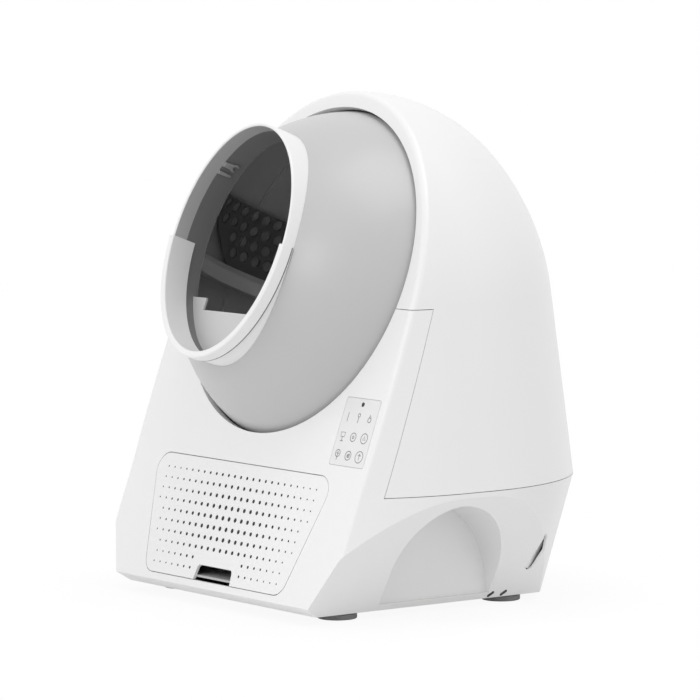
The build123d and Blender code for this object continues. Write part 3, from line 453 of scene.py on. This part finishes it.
@dataclass
class Workbench:
    """Modelling steps that the pieces share. Sizes are in millimetres."""

    paintshop: Paintshop
    weld: float = 0.002
    smooth_angle: float = 35.0
    oval_corners: int = 144

    @staticmethod
    def only(piece: bpy.types.Object) -> None:
        """Select one object and make it active.

        Args:
            piece: the object.
        """
        bpy.ops.object.select_all(action="DESELECT")
        piece.select_set(True)
        bpy.context.view_layer.objects.active = piece

    def apply(self, piece: bpy.types.Object) -> None:
        """Apply every modifier of a piece.

        Args:
            piece: the object.
        """
        self.only(piece)
        for modifier in list(piece.modifiers):
            bpy.ops.object.modifier_apply(modifier=modifier.name)

    def clean(self, piece: bpy.types.Object) -> None:
        """Weld loose corners and turn every face outwards.

        Args:
            piece: the object.
        """
        self.only(piece)
        bpy.ops.object.mode_set(mode="EDIT")
        bpy.ops.mesh.select_all(action="SELECT")
        bpy.ops.mesh.remove_doubles(threshold=self.weld)
        bpy.ops.mesh.normals_make_consistent(inside=False)
        bpy.ops.object.mode_set(mode="OBJECT")

    def copies(self, piece: bpy.types.Object, names: list[str]) -> list[bpy.types.Object]:
        """Name a shape and copy it, each copy with its own mesh.

        Args:
            piece: the shape.
            names: a name for the shape and for each copy.

        Returns:
            The shape and its copies.
        """
        row = [piece]
        for _ in names[1:]:
            self.only(piece)
            bpy.ops.object.duplicate(linked=False)
            row.append(bpy.context.active_object)
        for twin, name in zip(row, names):
            twin.name = name
            twin.data.name = name
        return row

    def seat(self, piece: bpy.types.Object, place: Matrix, body: Body, slot: str, finish: Finish) -> None:
        """Put a piece in its place, at the origin and unscaled, paint it and fix it to its body.

        Args:
            piece: the object, in millimetres.
            place: the frame that it was modelled in.
            body: what it rides on.
            slot: the record's slot that its finish belongs to; not used.
            finish: the finish.
        """
        self.only(piece)
        piece.matrix_world = place @ Matrix.Scale(MM, 4)
        bpy.ops.object.transform_apply(location=True, rotation=True, scale=True)
        bpy.ops.object.shade_smooth_by_angle(angle=math.radians(self.smooth_angle))
        self.paintshop.paint(piece, finish)
        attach(piece, body.value)
        log.info("piece %s on %s", piece.name, body.value)

    def _curve(self, name: str, lines: list[list[Point]], closed: list[bool]) -> bpy.types.Object:
        """Curve object of straight-sided lines.

        Args:
            name: the object's name.
            lines: points of each line.
            closed: whether each line closes.

        Returns:
            The new object.
        """
        data = bpy.data.curves.new(name, "CURVE")
        for points, loop in zip(lines, closed):
            spline = data.splines.new("POLY")
            spline.points.add(len(points) - 1)
            for point, (x, y) in zip(spline.points, points):
                point.co = (x, y, 0.0, 1.0)
            spline.use_cyclic_u = loop
        piece = bpy.data.objects.new(name, data)
        bpy.context.scene.collection.objects.link(piece)
        return piece

    def plate(self, name: str, outlines: list[list[Point]], thick: float, edge: float) -> bpy.types.Object:
        """Flat plate with rounded edges; its back lies on the XY plane.

        Args:
            name: the object's name.
            outlines: its outlines, one or more.
            thick: thickness.
            edge: radius of the rounded edge, 0 for none.

        Returns:
            The plate as a mesh.
        """
        piece = self._curve(name, outlines, [True] * len(outlines))
        piece.data.dimensions = "2D"
        piece.data.fill_mode = "BOTH"
        piece.data.extrude = thick / 2 - edge
        piece.data.bevel_depth = edge
        piece.data.bevel_resolution = 2
        piece.data.offset = -edge
        self.only(piece)
        bpy.ops.object.convert(target="MESH")
        bpy.ops.object.mode_set(mode="EDIT")
        bpy.ops.mesh.select_all(action="SELECT")
        bpy.ops.transform.translate(value=(0.0, 0.0, thick / 2))
        bpy.ops.object.mode_set(mode="OBJECT")
        self.clean(piece)
        return piece

    def strokes(self, name: str, lines: list[list[Point]], closed: list[bool], width: float,
                height: float) -> bpy.types.Object:
        """Drawn lines with a flattened round section, standing on the XY plane.

        Args:
            name: the object's name.
            lines: points of each line.
            closed: whether each line closes.
            width: breadth of a line.
            height: how far the lines stand up.

        Returns:
            The lines as a mesh.
        """
        piece = self._curve(name, lines, closed)
        piece.data.dimensions = "3D"
        piece.data.bevel_depth = width / 2
        piece.data.bevel_resolution = 2
        piece.data.use_fill_caps = True
        self.only(piece)
        bpy.ops.object.convert(target="MESH")
        bpy.ops.object.mode_set(mode="EDIT")
        bpy.ops.mesh.select_all(action="SELECT")
        bpy.ops.transform.resize(value=(1.0, 1.0, height / width))
        bpy.ops.transform.translate(value=(0.0, 0.0, height / 2))
        bpy.ops.object.mode_set(mode="OBJECT")
        return piece

    def lathe(self, name: str, profile: list[Point], steps: int = 48) -> bpy.types.Object:
        """Body turned about Z.

        Args:
            name: the object's name.
            profile: radius and height of each point.
            steps: facets round the axis.

        Returns:
            The turned body.
        """
        mesh = bpy.data.meshes.new(name)
        corners = [(radius, 0.0, height) for radius, height in profile]
        mesh.from_pydata(corners, [(i, i + 1) for i in range(len(corners) - 1)], [])
        piece = bpy.data.objects.new(name, mesh)
        bpy.context.scene.collection.objects.link(piece)
        turn = piece.modifiers.new("turn", "SCREW")
        turn.steps = steps
        turn.render_steps = steps
        turn.use_merge_vertices = True
        turn.merge_threshold = 0.001
        self.apply(piece)
        self.clean(piece)
        return piece

    def sleeve(self, name: str, half_w: float, half_h: float, front: float, back: float,
               wall: float) -> bpy.types.Object:
        """Oval sleeve along Z.

        Args:
            name: the object's name.
            half_w: half width outside.
            half_h: half height outside.
            front: height of its front end.
            back: height of its back end.
            wall: wall thickness, inwards.

        Returns:
            The sleeve.
        """
        bpy.ops.object.select_all(action="DESELECT")
        bpy.ops.mesh.primitive_circle_add(vertices=self.oval_corners, radius=1.0)
        piece = bpy.context.active_object
        piece.name = name
        bpy.ops.object.mode_set(mode="EDIT")
        bpy.ops.mesh.select_all(action="SELECT")
        bpy.ops.transform.resize(value=(half_w, half_h, 1.0))
        bpy.ops.transform.translate(value=(0.0, 0.0, front))
        bpy.ops.mesh.extrude_region_move(TRANSFORM_OT_translate={"value": (0.0, 0.0, back - front)})
        bpy.ops.mesh.select_all(action="SELECT")
        bpy.ops.mesh.normals_make_consistent(inside=False)
        bpy.ops.object.mode_set(mode="OBJECT")
        skin = piece.modifiers.new("skin", "SOLIDIFY")
        skin.thickness = wall
        skin.offset = -1.0
        skin.use_even_offset = True
        self.apply(piece)
        return piece


def circle(radius: float, x: float = 0.0, y: float = 0.0, count: int = 28) -> list[Point]:
    """Points round a circle.

    Args:
        radius: its radius.
        x: middle.
        y: middle.
        count: how many points.

    Returns:
        The points.
    """
    turn = 2 * math.pi / count
    return [(x + radius * math.cos(i * turn), y + radius * math.sin(i * turn)) for i in range(count)]


def slot_outline(length: float, width: float, count: int = 10) -> list[Point]:
    """Points round a slot that runs along X.

    Args:
        length: overall length.
        width: overall width.
        count: points at each round end.

    Returns:
        The points.
    """
    radius = width / 2
    reach = length / 2 - radius
    points = []
    for side, start in ((1, -math.pi / 2), (-1, math.pi / 2)):
        for i in range(count + 1):
            angle = start + math.pi * i / count
            points.append((side * reach + radius * math.cos(angle), radius * math.sin(angle)))
    return points


def rounded(corners: list[Point], radius: float, count: int = 8) -> list[Point]:
    """Open line whose inner corners are rounded.

    Args:
        corners: the line's ends and the corners between them.
        radius: radius of each corner.
        count: steps round a corner.

    Returns:
        The points.
    """
    points = [corners[0]]
    for before, corner, after in zip(corners, corners[1:], corners[2:]):
        bend = Vector(corner)
        back = (Vector(before) - bend).normalized()
        ahead = (Vector(after) - bend).normalized()
        half = back.angle(ahead) / 2
        centre = bend + (back + ahead).normalized() * radius / math.sin(half)
        start = bend + back * radius / math.tan(half) - centre
        end = bend + ahead * radius / math.tan(half) - centre
        for i in range(count + 1):
            points.append(tuple(centre + start.slerp(end, i / count)))
    points.append(corners[-1])
    return points


@dataclass
class TouchPanel:
    """Printed key marks on the touch panel, in three rows of three."""

    bench: Workbench
    frames: Frames
    middle: Point = (205.0, -201.0)
    size: Point = (69.4, 88.0)
    columns: tuple[float, float, float] = (0.17, 0.48, 0.80)
    rows: tuple[float, float, float] = (0.29, 0.57, 0.84)
    line_width: float = 1.0
    mark_scale: float = 1.5
    ink_height: float = 0.12
    swirl_points: int = 18
    swirl_growth: float = 0.125
    swirl_turn: float = 0.8

    def marks(self) -> dict[str, tuple[list[list[Point]], list[bool]]]:
        """Generic key marks.

        Returns:
            For each key, its lines and whether each closes.
        """
        bowl = [(-3.0, 3.2), (3.0, 3.2), (2.2, -0.6), (-2.2, -0.6)]
        arrow = [(-1.7, 0.8), (0.0, 2.6), (1.7, 0.8)]
        wedge = [(-1.7, -1.2), (1.7, -1.2), (0.0, 1.9)]
        swirl = []
        for i in range(1, self.swirl_points):
            reach = i * self.swirl_growth
            swirl.append((reach * math.cos(i * self.swirl_turn), reach * math.sin(i * self.swirl_turn)))
        return {
            "key_bar": ([[(0.0, -4.0), (0.0, 4.0)]], [False]),
            "key_pin": ([circle(1.5, 0.0, 2.4), [(0.0, 0.9), (0.0, -4.2)]], [True, False]),
            "key_drop": ([circle(2.0, 0.0, -0.6), [(-1.6, 0.6), (0.0, 3.8), (1.6, 0.6)]], [True, False]),
            "key_bowl": ([bowl, [(0.0, -0.6), (0.0, -4.2)], [(-1.8, -4.2), (1.8, -4.2)]],
                         [True, False, False]),
            "key_ring": ([circle(3.6), circle(1.1)], [True, True]),
            "key_wedge": ([circle(4.3), wedge], [True, True]),
            "key_cross": ([circle(3.0, 0.0, 1.0), [(-1.7, 1.0), (1.7, 1.0)], [(0.0, 2.7), (0.0, -4.6)]],
                          [True, False, False]),
            "key_swirl": ([circle(3.8), swirl], [True, False]),
            "key_arrow": ([circle(4.9), arrow, [(0.0, 2.6), (0.0, -2.6)]], [True, False, False]),
        }

    def build(self) -> None:
        """Print every mark on the panel."""
        width, length = self.size
        for index, (name, (lines, closed)) in enumerate(self.marks().items()):
            x = self.middle[0] + (self.columns[index % 3] - 0.5) * width
            y = self.middle[1] + (0.5 - self.rows[index // 3]) * length
            drawn = [[(px * self.mark_scale, py * self.mark_scale) for px, py in line] for line in lines]
            mark = self.bench.strokes(name, drawn, closed, self.line_width, self.ink_height)
            place = self.frames.front @ Matrix.Translation((x * MM, y * MM, 0.0))
            self.bench.seat(mark, place, Body.HOUSING, "sensor_window", PANEL_INK)


@dataclass
class DrawerScreen:
    """Dark screen that shows in the perforations of the drawer front, and a dark strip of painted shadow in
    the gap round it.
    """

    bench: Workbench
    frames: Frames
    top: float = -260.0
    low: float = -419.0
    top_half_w: float = 193.0
    low_half_w: float = 149.0
    rows: int = 10
    pitch: float = 13.4
    margin: float = 15.0
    top_margin: float = 19.0
    largest: float = 3.1
    smallest: float = 1.2
    notch_height: float = 21.0
    notch_half_w: float = 43.0
    sunk: float = 0.35
    thick: float = 0.6
    clearance: float = 0.06
    disc_corners: int = 16
    row_weight: float = 0.8
    fade_power: float = 1.6
    corner: float = 22.0
    lean: float = 20.0
    shadow_strip_inset: float = 0.58
    shadow_strip_width: float = 0.8
    shadow_strip_height: float = 0.6
    shadow_strip_depth: float = 0.7

    def discs(self) -> list[list[Point]]:
        """Outline of each disc, in the rows of the holes.

        Returns:
            The outlines.
        """
        height = self.top - self.low
        row_pitch = (height - self.top_margin - self.margin) / (self.rows - 1)
        outlines = []
        for row in range(self.rows):
            y = self.top - self.top_margin - row * row_pitch
            share = (y - self.low) / height
            half_w = self.low_half_w + (self.top_half_w - self.low_half_w) * share - self.margin
            by_notch = y < self.low + self.notch_height + self.margin
            count = int(half_w / self.pitch)
            for column in range(-count, count + 1):
                x = column * self.pitch
                if by_notch and abs(x) < self.notch_half_w + self.pitch / 2:
                    continue
                fade = min(1.0, math.hypot(x / half_w, self.row_weight * (2 * share - 1)))
                radius = self.smallest + (self.largest - self.smallest) * (1 - fade ** self.fade_power)
                outlines.append(circle(radius - self.clearance, x, y, self.disc_corners))
        return outlines

    def seal(self) -> None:
        """Thin dark strip in the gap round the front, open at the thumb notch: painted shadow of the gap.
        """
        rise = math.cos(math.radians(self.lean))
        top = self.top * rise - self.shadow_strip_inset
        low = self.low * rise + self.shadow_strip_inset
        wide = self.top_half_w - self.shadow_strip_inset
        narrow = self.low_half_w - self.shadow_strip_inset
        corners = [(self.notch_half_w, low), (narrow, low), (wide, top), (-wide, top), (-narrow, low),
                   (-self.notch_half_w, low)]
        line = [(x, y / rise) for x, y in rounded(corners, self.corner - self.shadow_strip_inset)]
        strip = self.bench.strokes("drawer_seal", [line], [False], self.shadow_strip_width, self.shadow_strip_height)
        drop = self.shadow_strip_depth * MM
        inward = Matrix.Translation((0.0, drop * math.sin(math.radians(self.lean)), -drop * rise))
        self.bench.seat(strip, self.frames.front @ inward, Body.DRAWER, "soft_seal", GAP_SHADOW_PAINT)

    def build(self) -> None:
        """Fit the painted gap shadow strip and the screen."""
        self.seal()
        screen = self.bench.plate("front_screen", self.discs(), self.thick, 0.0)
        place = self.frames.front @ Matrix.Translation((0.0, 0.0, -(self.sunk + self.thick) * MM))
        self.bench.seat(screen, place, Body.DRAWER, "carbon_foam", SCREEN_DARK)


@dataclass
class EntryTrim:
    """Linings of the entry collar, partly painted shade, its hook and tongue, and a dark strip of painted
    shadow under its guard.
    """

    bench: Workbench
    frames: Frames
    half_w: float = 116.95
    half_h: float = 150.95
    rim: float = 210.6
    step: float = 191.0
    inner: float = 158.3
    skin: float = 0.1
    hook_angle: float = 136.0
    tongue_angle: float = 141.5
    guard_low: float = 197.9
    guard_shadow_half: Point = (123.3, 157.3)
    guard_shadow_width: float = 1.4
    guard_shadow_wall: float = 2.2
    guard_top: float = -1.2
    hook_lift: float = 0.05
    hook_thick: float = 3.0
    hook_edge: float = 0.8
    tongue_thick: float = 2.6
    tongue_edge: float = 0.7

    def shaded_linings(self) -> None:
        """Grey sleeve behind the rim and a darker one in the neck: partly the collar's greyer inner
        moulding, partly painted shade that darkens towards the neck.
        """
        lip = self.bench.sleeve("collar_lining", self.half_w, self.half_h, self.rim, self.step, self.skin)
        self.bench.seat(lip, self.frames.drum, Body.DRUM, "grey_drum", COLLAR_LINING_AND_SHADE)
        neck = self.bench.sleeve("neck_lining", self.half_w, self.half_h, self.step, self.inner, self.skin)
        self.bench.seat(neck, self.frames.drum, Body.DRUM, "dark_inner", NECK_LINING_AND_SHADE)

    def _on_lining(self, angle: float) -> Matrix:
        """Frame on the lining's inner edge: X into the drum, Z towards the axis.

        Args:
            angle: place round the oval, in degrees from the right.

        Returns:
            The frame.
        """
        turn = math.radians(angle)
        x = self.half_w * math.cos(turn)
        y = self.half_h * math.sin(turn)
        inward = Vector((-x / self.half_w ** 2, -y / self.half_h ** 2, 0.0)).normalized()
        deeper = Vector((0.0, 0.0, -1.0))
        stand = Matrix((deeper, inward.cross(deeper), inward)).transposed().to_4x4()
        start = (Vector((x, y, self.step)) + inward * (self.skin + self.hook_lift)) * MM
        return self.frames.drum @ Matrix.Translation(start) @ stand

    def hooks(self) -> None:
        """Flat hook and plain tongue that point into the drum from the lining's edge."""
        outline = [(0.0, -3.4), (11.0, -3.8), (16.0, -6.2), (20.0, -5.6), (18.6, -3.4), (15.4, -2.0),
                   (14.6, 0.4), (16.6, 2.2), (21.6, 1.8), (23.0, 4.0), (17.8, 6.0), (11.0, 4.2), (0.0, 3.6)]
        hook = self.bench.plate("collar_hook", [outline], self.hook_thick, self.hook_edge)
        self.bench.seat(hook, self._on_lining(self.hook_angle), Body.DRUM, "grey_drum", CLIP_GREY)
        outline = [(0.0, -2.6), (15.0, -2.2), (20.0, -1.2), (21.0, 0.6), (18.0, 2.0), (0.0, 2.4)]
        tongue = self.bench.plate("collar_tongue", [outline], self.tongue_thick, self.tongue_edge)
        self.bench.seat(tongue, self._on_lining(self.tongue_angle), Body.DRUM, "grey_drum", CLIP_GREY)

    def gasket(self) -> None:
        """Thin dark strip under the guard's outer edge, round the lower half of the collar: painted shadow
        of the gap between guard and collar.
        """
        ring = self.bench.sleeve("guard_gasket", *self.guard_shadow_half, self.guard_low + self.guard_shadow_width,
                                 self.guard_low, self.guard_shadow_wall)
        self.bench.only(ring)
        bpy.ops.object.mode_set(mode="EDIT")
        bpy.ops.mesh.select_all(action="SELECT")
        bpy.ops.mesh.bisect(plane_co=(0.0, self.guard_top, 0.0), plane_no=(0.0, 1.0, 0.0), use_fill=True,
                            clear_outer=True)
        bpy.ops.object.mode_set(mode="OBJECT")
        self.bench.seat(ring, self.frames.drum, Body.DRUM, "soft_seal", GAP_SHADOW_PAINT)

    def build(self) -> None:
        """Make the trim."""
        self.shaded_linings()
        self.hooks()
        self.gasket()


@dataclass
class BaseTrim:
    """Liners behind the rear slots and the small drain plugs by the rear feet, on both sides."""

    bench: Workbench
    slot_middle: Triple = (237.0, 104.0, 72.0)
    slot_out: Triple = (0.85, 0.32, -0.42)
    slot_depth: float = 7.0
    plug_places: tuple[Triple, ...] = ((206.6, 47.0, 15.0), (206.6, 68.0, 15.0))
    plug_out: Triple = (0.88, 0.0, -0.474)
    liner_size: Point = (64.0, 26.0)
    plug_size: Point = (11.5, 4.6)
    plug_lean: float = 38.0
    liner_thick: float = 1.6
    plug_thick: float = 1.0
    edge: float = 0.4
    plug_sink: float = 0.5

    @staticmethod
    def _stand(middle: Vector, out: Vector, side: int) -> Matrix:
        """Frame on a side wall, Z outwards and Y upwards.

        Args:
            middle: place on the right side, in millimetres.
            out: outward direction on the right side.
            side: 1 right, -1 left.

        Returns:
            The frame in metres.
        """
        normal = Vector((side * out.x, out.y, out.z)).normalized()
        across = Vector((0.0, 0.0, 1.0)).cross(normal).normalized()
        turn = Matrix((across, normal.cross(across), normal)).transposed().to_4x4()
        return Matrix.Translation(Vector((side * middle.x, middle.y, middle.z)) * MM) @ turn

    def build(self) -> None:
        """Fit the pieces on both sides."""
        out = Vector(self.slot_out).normalized()
        outline = [(y, x) for x, y in slot_outline(*self.liner_size)]
        liner = self.bench.plate("slot_liner_right", [outline], self.liner_thick, self.edge)
        liners = self.bench.copies(liner, ["slot_liner_right", "slot_liner_left"])
        outline = slot_outline(*self.plug_size)
        plug = self.bench.plate("drain_plug_right_1", [outline], self.plug_thick, self.edge)
        names = [f"drain_plug_{side}_{index}" for side in ("right", "left") for index in (1, 2)]
        plugs = self.bench.copies(plug, names)
        for side, liner in zip((1, -1), liners):
            stand = self._stand(Vector(self.slot_middle) - out * self.slot_depth, out, side)
            self.bench.seat(liner, stand, Body.HOUSING, "white_shell", FINISHES["white_shell"])
            for place in self.plug_places:
                stand = self._stand(Vector(place), Vector(self.plug_out), side)
                lean = Matrix.Rotation(math.radians(side * self.plug_lean), 4, "Z")
                sunk = Matrix.Translation((0.0, 0.0, -self.plug_sink * MM))
                self.bench.seat(plugs.pop(0), stand @ lean @ sunk, Body.HOUSING, "socket_black",
                                FINISHES["socket_black"])


@dataclass
class Fasteners:
    """Screws of the service cover and the inlet's bezel, on the back."""

    bench: Workbench
    head: float = 4.2
    rise: float = 1.6
    inset: float = 62.0
    sink: float = 1.0
    shank: float = 1.4
    shank_length: float = 3.0
    recess: Triple = (4.62, 0.9, 1.8)
    facets: int = 32
    heights: Triple = (0.07, 0.5, 0.93)
    bezel_sink: float = 1.4

    def screw(self, name: str) -> bpy.types.Object:
        """Round-headed screw with a cross recess, its seat on the XY plane.

        Args:
            name: the object's name.

        Returns:
            The screw.
        """
        profile = [(0.0, -self.shank_length), (self.shank, -self.shank_length), (self.shank, 0.0),
                   (self.head, 0.0), (self.head, 0.5), (self.head * 0.86, self.rise * 0.72),
                   (self.head * 0.5, self.rise), (0.0, self.rise)]
        piece = self.bench.lathe(name, profile, self.facets)
        for turn in (0.0, math.pi / 2):
            bpy.ops.object.select_all(action="DESELECT")
            bpy.ops.mesh.primitive_cube_add(size=1.0, location=(0.0, 0.0, self.rise))
            cutter = bpy.context.active_object
            cutter.scale = self.recess
            cutter.rotation_euler = (0.0, 0.0, turn)
            cut = piece.modifiers.new("recess", "BOOLEAN")
            cut.object = cutter
            cut.operation = "DIFFERENCE"
            self.bench.apply(piece)
            bpy.data.objects.remove(cutter)
        return piece

    def cover_spots(self) -> list[Matrix]:
        """Places on the service cover near its corners and at half height.

        Returns:
            A frame for each screw, Z out of the cover.
        """
        low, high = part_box("rear_cover")
        cover = frame["nodes"]["rear_cover"]
        spots = []
        for share in self.heights:
            z = low[2] + (high[2] - low[2]) * share
            for side in (-1, 1):
                x = side * (high[0] - self.inset * MM)
                hit, point, normal, _ = cover.ray_cast(Vector((x, 1.0, z)), Vector((0.0, -1.0, 0.0)))
                if hit:
                    seat = point - normal * self.sink * MM
                    turn = normal.to_track_quat("Z", "Y").to_matrix().to_4x4()
                    spots.append(Matrix.Translation(seat) @ turn)
        return spots

    def build(self) -> None:
        """Fit the screws and the bezel."""
        spots = self.cover_spots()
        names = [f"cover_screw_{index + 1}" for index in range(len(spots))]
        for screw, spot in zip(self.bench.copies(self.screw("cover_screw_1"), names), spots):
            self.bench.seat(screw, spot, Body.HOUSING, "sensor_steel", FINISHES["sensor_steel"])
        low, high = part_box("power_inlet")
        ring = [(8.2, -0.6), (11.5, -0.6), (11.5, 0.6), (10.6, 1.4), (8.9, 1.4), (8.2, 0.8), (8.2, -0.6)]
        bezel = self.bench.lathe("inlet_bezel", ring)
        middle = Vector(((low[0] + high[0]) / 2, high[1] - self.bezel_sink * MM, (low[2] + high[2]) / 2))
        place = Matrix.Translation(middle) @ Matrix.Rotation(math.radians(-90), 4, "X")
        self.bench.seat(bezel, place, Body.HOUSING, "socket_black", FINISHES["socket_black"])


@dataclass
class Studio:
    """Floor, soft lights and camera."""

    camera_place: Triple = (4.142, -3.1567, 0.768)
    camera_target: Triple = (-0.0292, -0.0022, 0.311)
    lens: float = 207.2
    shift: Point = (0.0034, 0.0016)
    sensor: float = 36.0
    far: float = 100.0
    floor_size: float = 60.0
    floor_tone: float = 0.86
    shade_reach: float = 0.16
    shade_floor: float = 0.93
    floor_drop: float = 0.0002
    floor_roughness: float = 0.9
    floor_specular: float = 0.1
    middle: Triple = (0.0, 0.0, 0.32)
    entry: Triple = (0.0, 0.0, 0.42)

    @staticmethod
    def _background_rays(tree: bpy.types.NodeTree) -> bpy.types.NodeSocket:
        """Rays that see the plain white background: the camera's own, reflected and refracted ones.

        Args:
            tree: the material or world.

        Returns:
            Socket that is 1 for such rays.
        """
        path = tree.nodes.new("ShaderNodeLightPath")
        seen = path.outputs["Is Camera Ray"]
        for kind in ("Is Glossy Ray", "Is Transmission Ray"):
            either = tree.nodes.new("ShaderNodeMath")
            either.operation = "MAXIMUM"
            tree.links.new(seen, either.inputs[0])
            tree.links.new(path.outputs[kind], either.inputs[1])
            seen = either.outputs["Value"]
        return seen

    def floor(self) -> None:
        """Plain pale floor: white to the camera with soft contact shade, matt for the light it returns."""
        bpy.ops.object.select_all(action="DESELECT")
        bpy.ops.mesh.primitive_plane_add(size=self.floor_size, location=(0.0, 0.0, -self.floor_drop))
        floor = bpy.context.active_object
        floor.name = "studio_floor"
        material = bpy.data.materials.new("studio_floor")
        material.use_nodes = True
        tree = material.node_tree
        shader = tree.nodes["Principled BSDF"]
        shader.inputs["Base Color"].default_value = (*grey(self.floor_tone), 1.0)
        shader.inputs["Roughness"].default_value = self.floor_roughness
        shader.inputs["Specular IOR Level"].default_value = self.floor_specular
        shade = tree.nodes.new("ShaderNodeAmbientOcclusion")
        shade.inputs["Distance"].default_value = self.shade_reach
        level = tree.nodes.new("ShaderNodeMapRange")
        level.inputs["To Min"].default_value = self.shade_floor
        level.inputs["To Max"].default_value = 1.0
        white = tree.nodes.new("ShaderNodeEmission")
        mix = tree.nodes.new("ShaderNodeMixShader")
        tree.links.new(shade.outputs["AO"], level.inputs["Value"])
        tree.links.new(level.outputs["Result"], white.inputs["Strength"])
        tree.links.new(self._background_rays(tree), mix.inputs["Fac"])
        tree.links.new(shader.outputs["BSDF"], mix.inputs[1])
        tree.links.new(white.outputs["Emission"], mix.inputs[2])
        tree.links.new(mix.outputs["Shader"], tree.nodes["Material Output"].inputs["Surface"])
        floor.data.materials.append(material)

    def world(self, strength: float = 0.68) -> None:
        """White surround for what the camera and reflections see, softer for the light it gives.

        Args:
            strength: light that the surround gives to the object.
        """
        world = bpy.data.worlds.new("studio_surround")
        bpy.context.scene.world = world
        world.use_nodes = True
        tree = world.node_tree
        background = tree.nodes["Background"]
        background.inputs["Color"].default_value = (1, 1, 1, 1)
        level = tree.nodes.new("ShaderNodeMapRange")
        level.inputs["To Min"].default_value = strength
        level.inputs["To Max"].default_value = 1.0
        tree.links.new(self._background_rays(tree), level.inputs["Value"])
        tree.links.new(level.outputs["Result"], background.inputs["Strength"])

    @staticmethod
    def lamp(name: str, place: Triple, aim: Triple, size: float, power: float) -> None:
        """Square soft light.

        Args:
            name: the lamp's name.
            place: where it hangs, in metres.
            aim: the point that it faces.
            size: its side, in metres.
            power: watts.
        """
        light = bpy.data.lights.new(name, "AREA")
        light.size = size
        light.energy = power
        lamp = bpy.data.objects.new(name, light)
        bpy.context.scene.collection.objects.link(lamp)
        lamp.location = place
        lamp.rotation_mode = "QUATERNION"
        lamp.rotation_quaternion = (Vector(aim) - Vector(place)).to_track_quat("-Z", "Y")

    def camera(self) -> None:
        """Camera at the photograph's angle."""
        data = bpy.data.cameras.new("photo_camera")
        data.sensor_width = self.sensor
        data.lens = self.lens
        data.shift_x, data.shift_y = self.shift
        data.clip_end = self.far
        camera = bpy.data.objects.new("photo_camera", data)
        bpy.context.scene.collection.objects.link(camera)
        camera.location = self.camera_place
        camera.rotation_mode = "QUATERNION"
        line = Vector(self.camera_target) - Vector(self.camera_place)
        camera.rotation_quaternion = line.to_track_quat("-Z", "Y")
        bpy.context.scene.camera = camera

    def build(self) -> None:
        """Set the whole studio up."""
        self.floor()
        self.world()
        self.lamp("top_light", (0.9, 0.2, 3.2), self.middle, size=2.0, power=30.0)
        self.lamp("left_fill", (-1.8, -2.8, 1.3), self.middle, size=2.2, power=13.0)
        self.lamp("entry_fill", (1.3, -3.0, 1.7), self.entry, size=1.2, power=15.0)
        self.camera()
        bpy.context.scene.view_settings.view_transform = "Standard"
        log.info("studio ready")


def main() -> None:
    """Build everything in order."""
    logging.basicConfig(level=logging.INFO, format="%(name)s: %(message)s")
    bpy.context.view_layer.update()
    bpy.ops.object.select_all(action="DESELECT")
    paintshop = Paintshop(PatternGroups())
    CadNodes(paintshop).dress()
    bench = Workbench(paintshop)
    frames = Frames.read()
    TouchPanel(bench, frames).build()
    DrawerScreen(bench, frames).build()
    EntryTrim(bench, frames).build()
    BaseTrim(bench).build()
    Fasteners(bench).build()
    Studio().build()


if __name__ == "__main__":
    main()
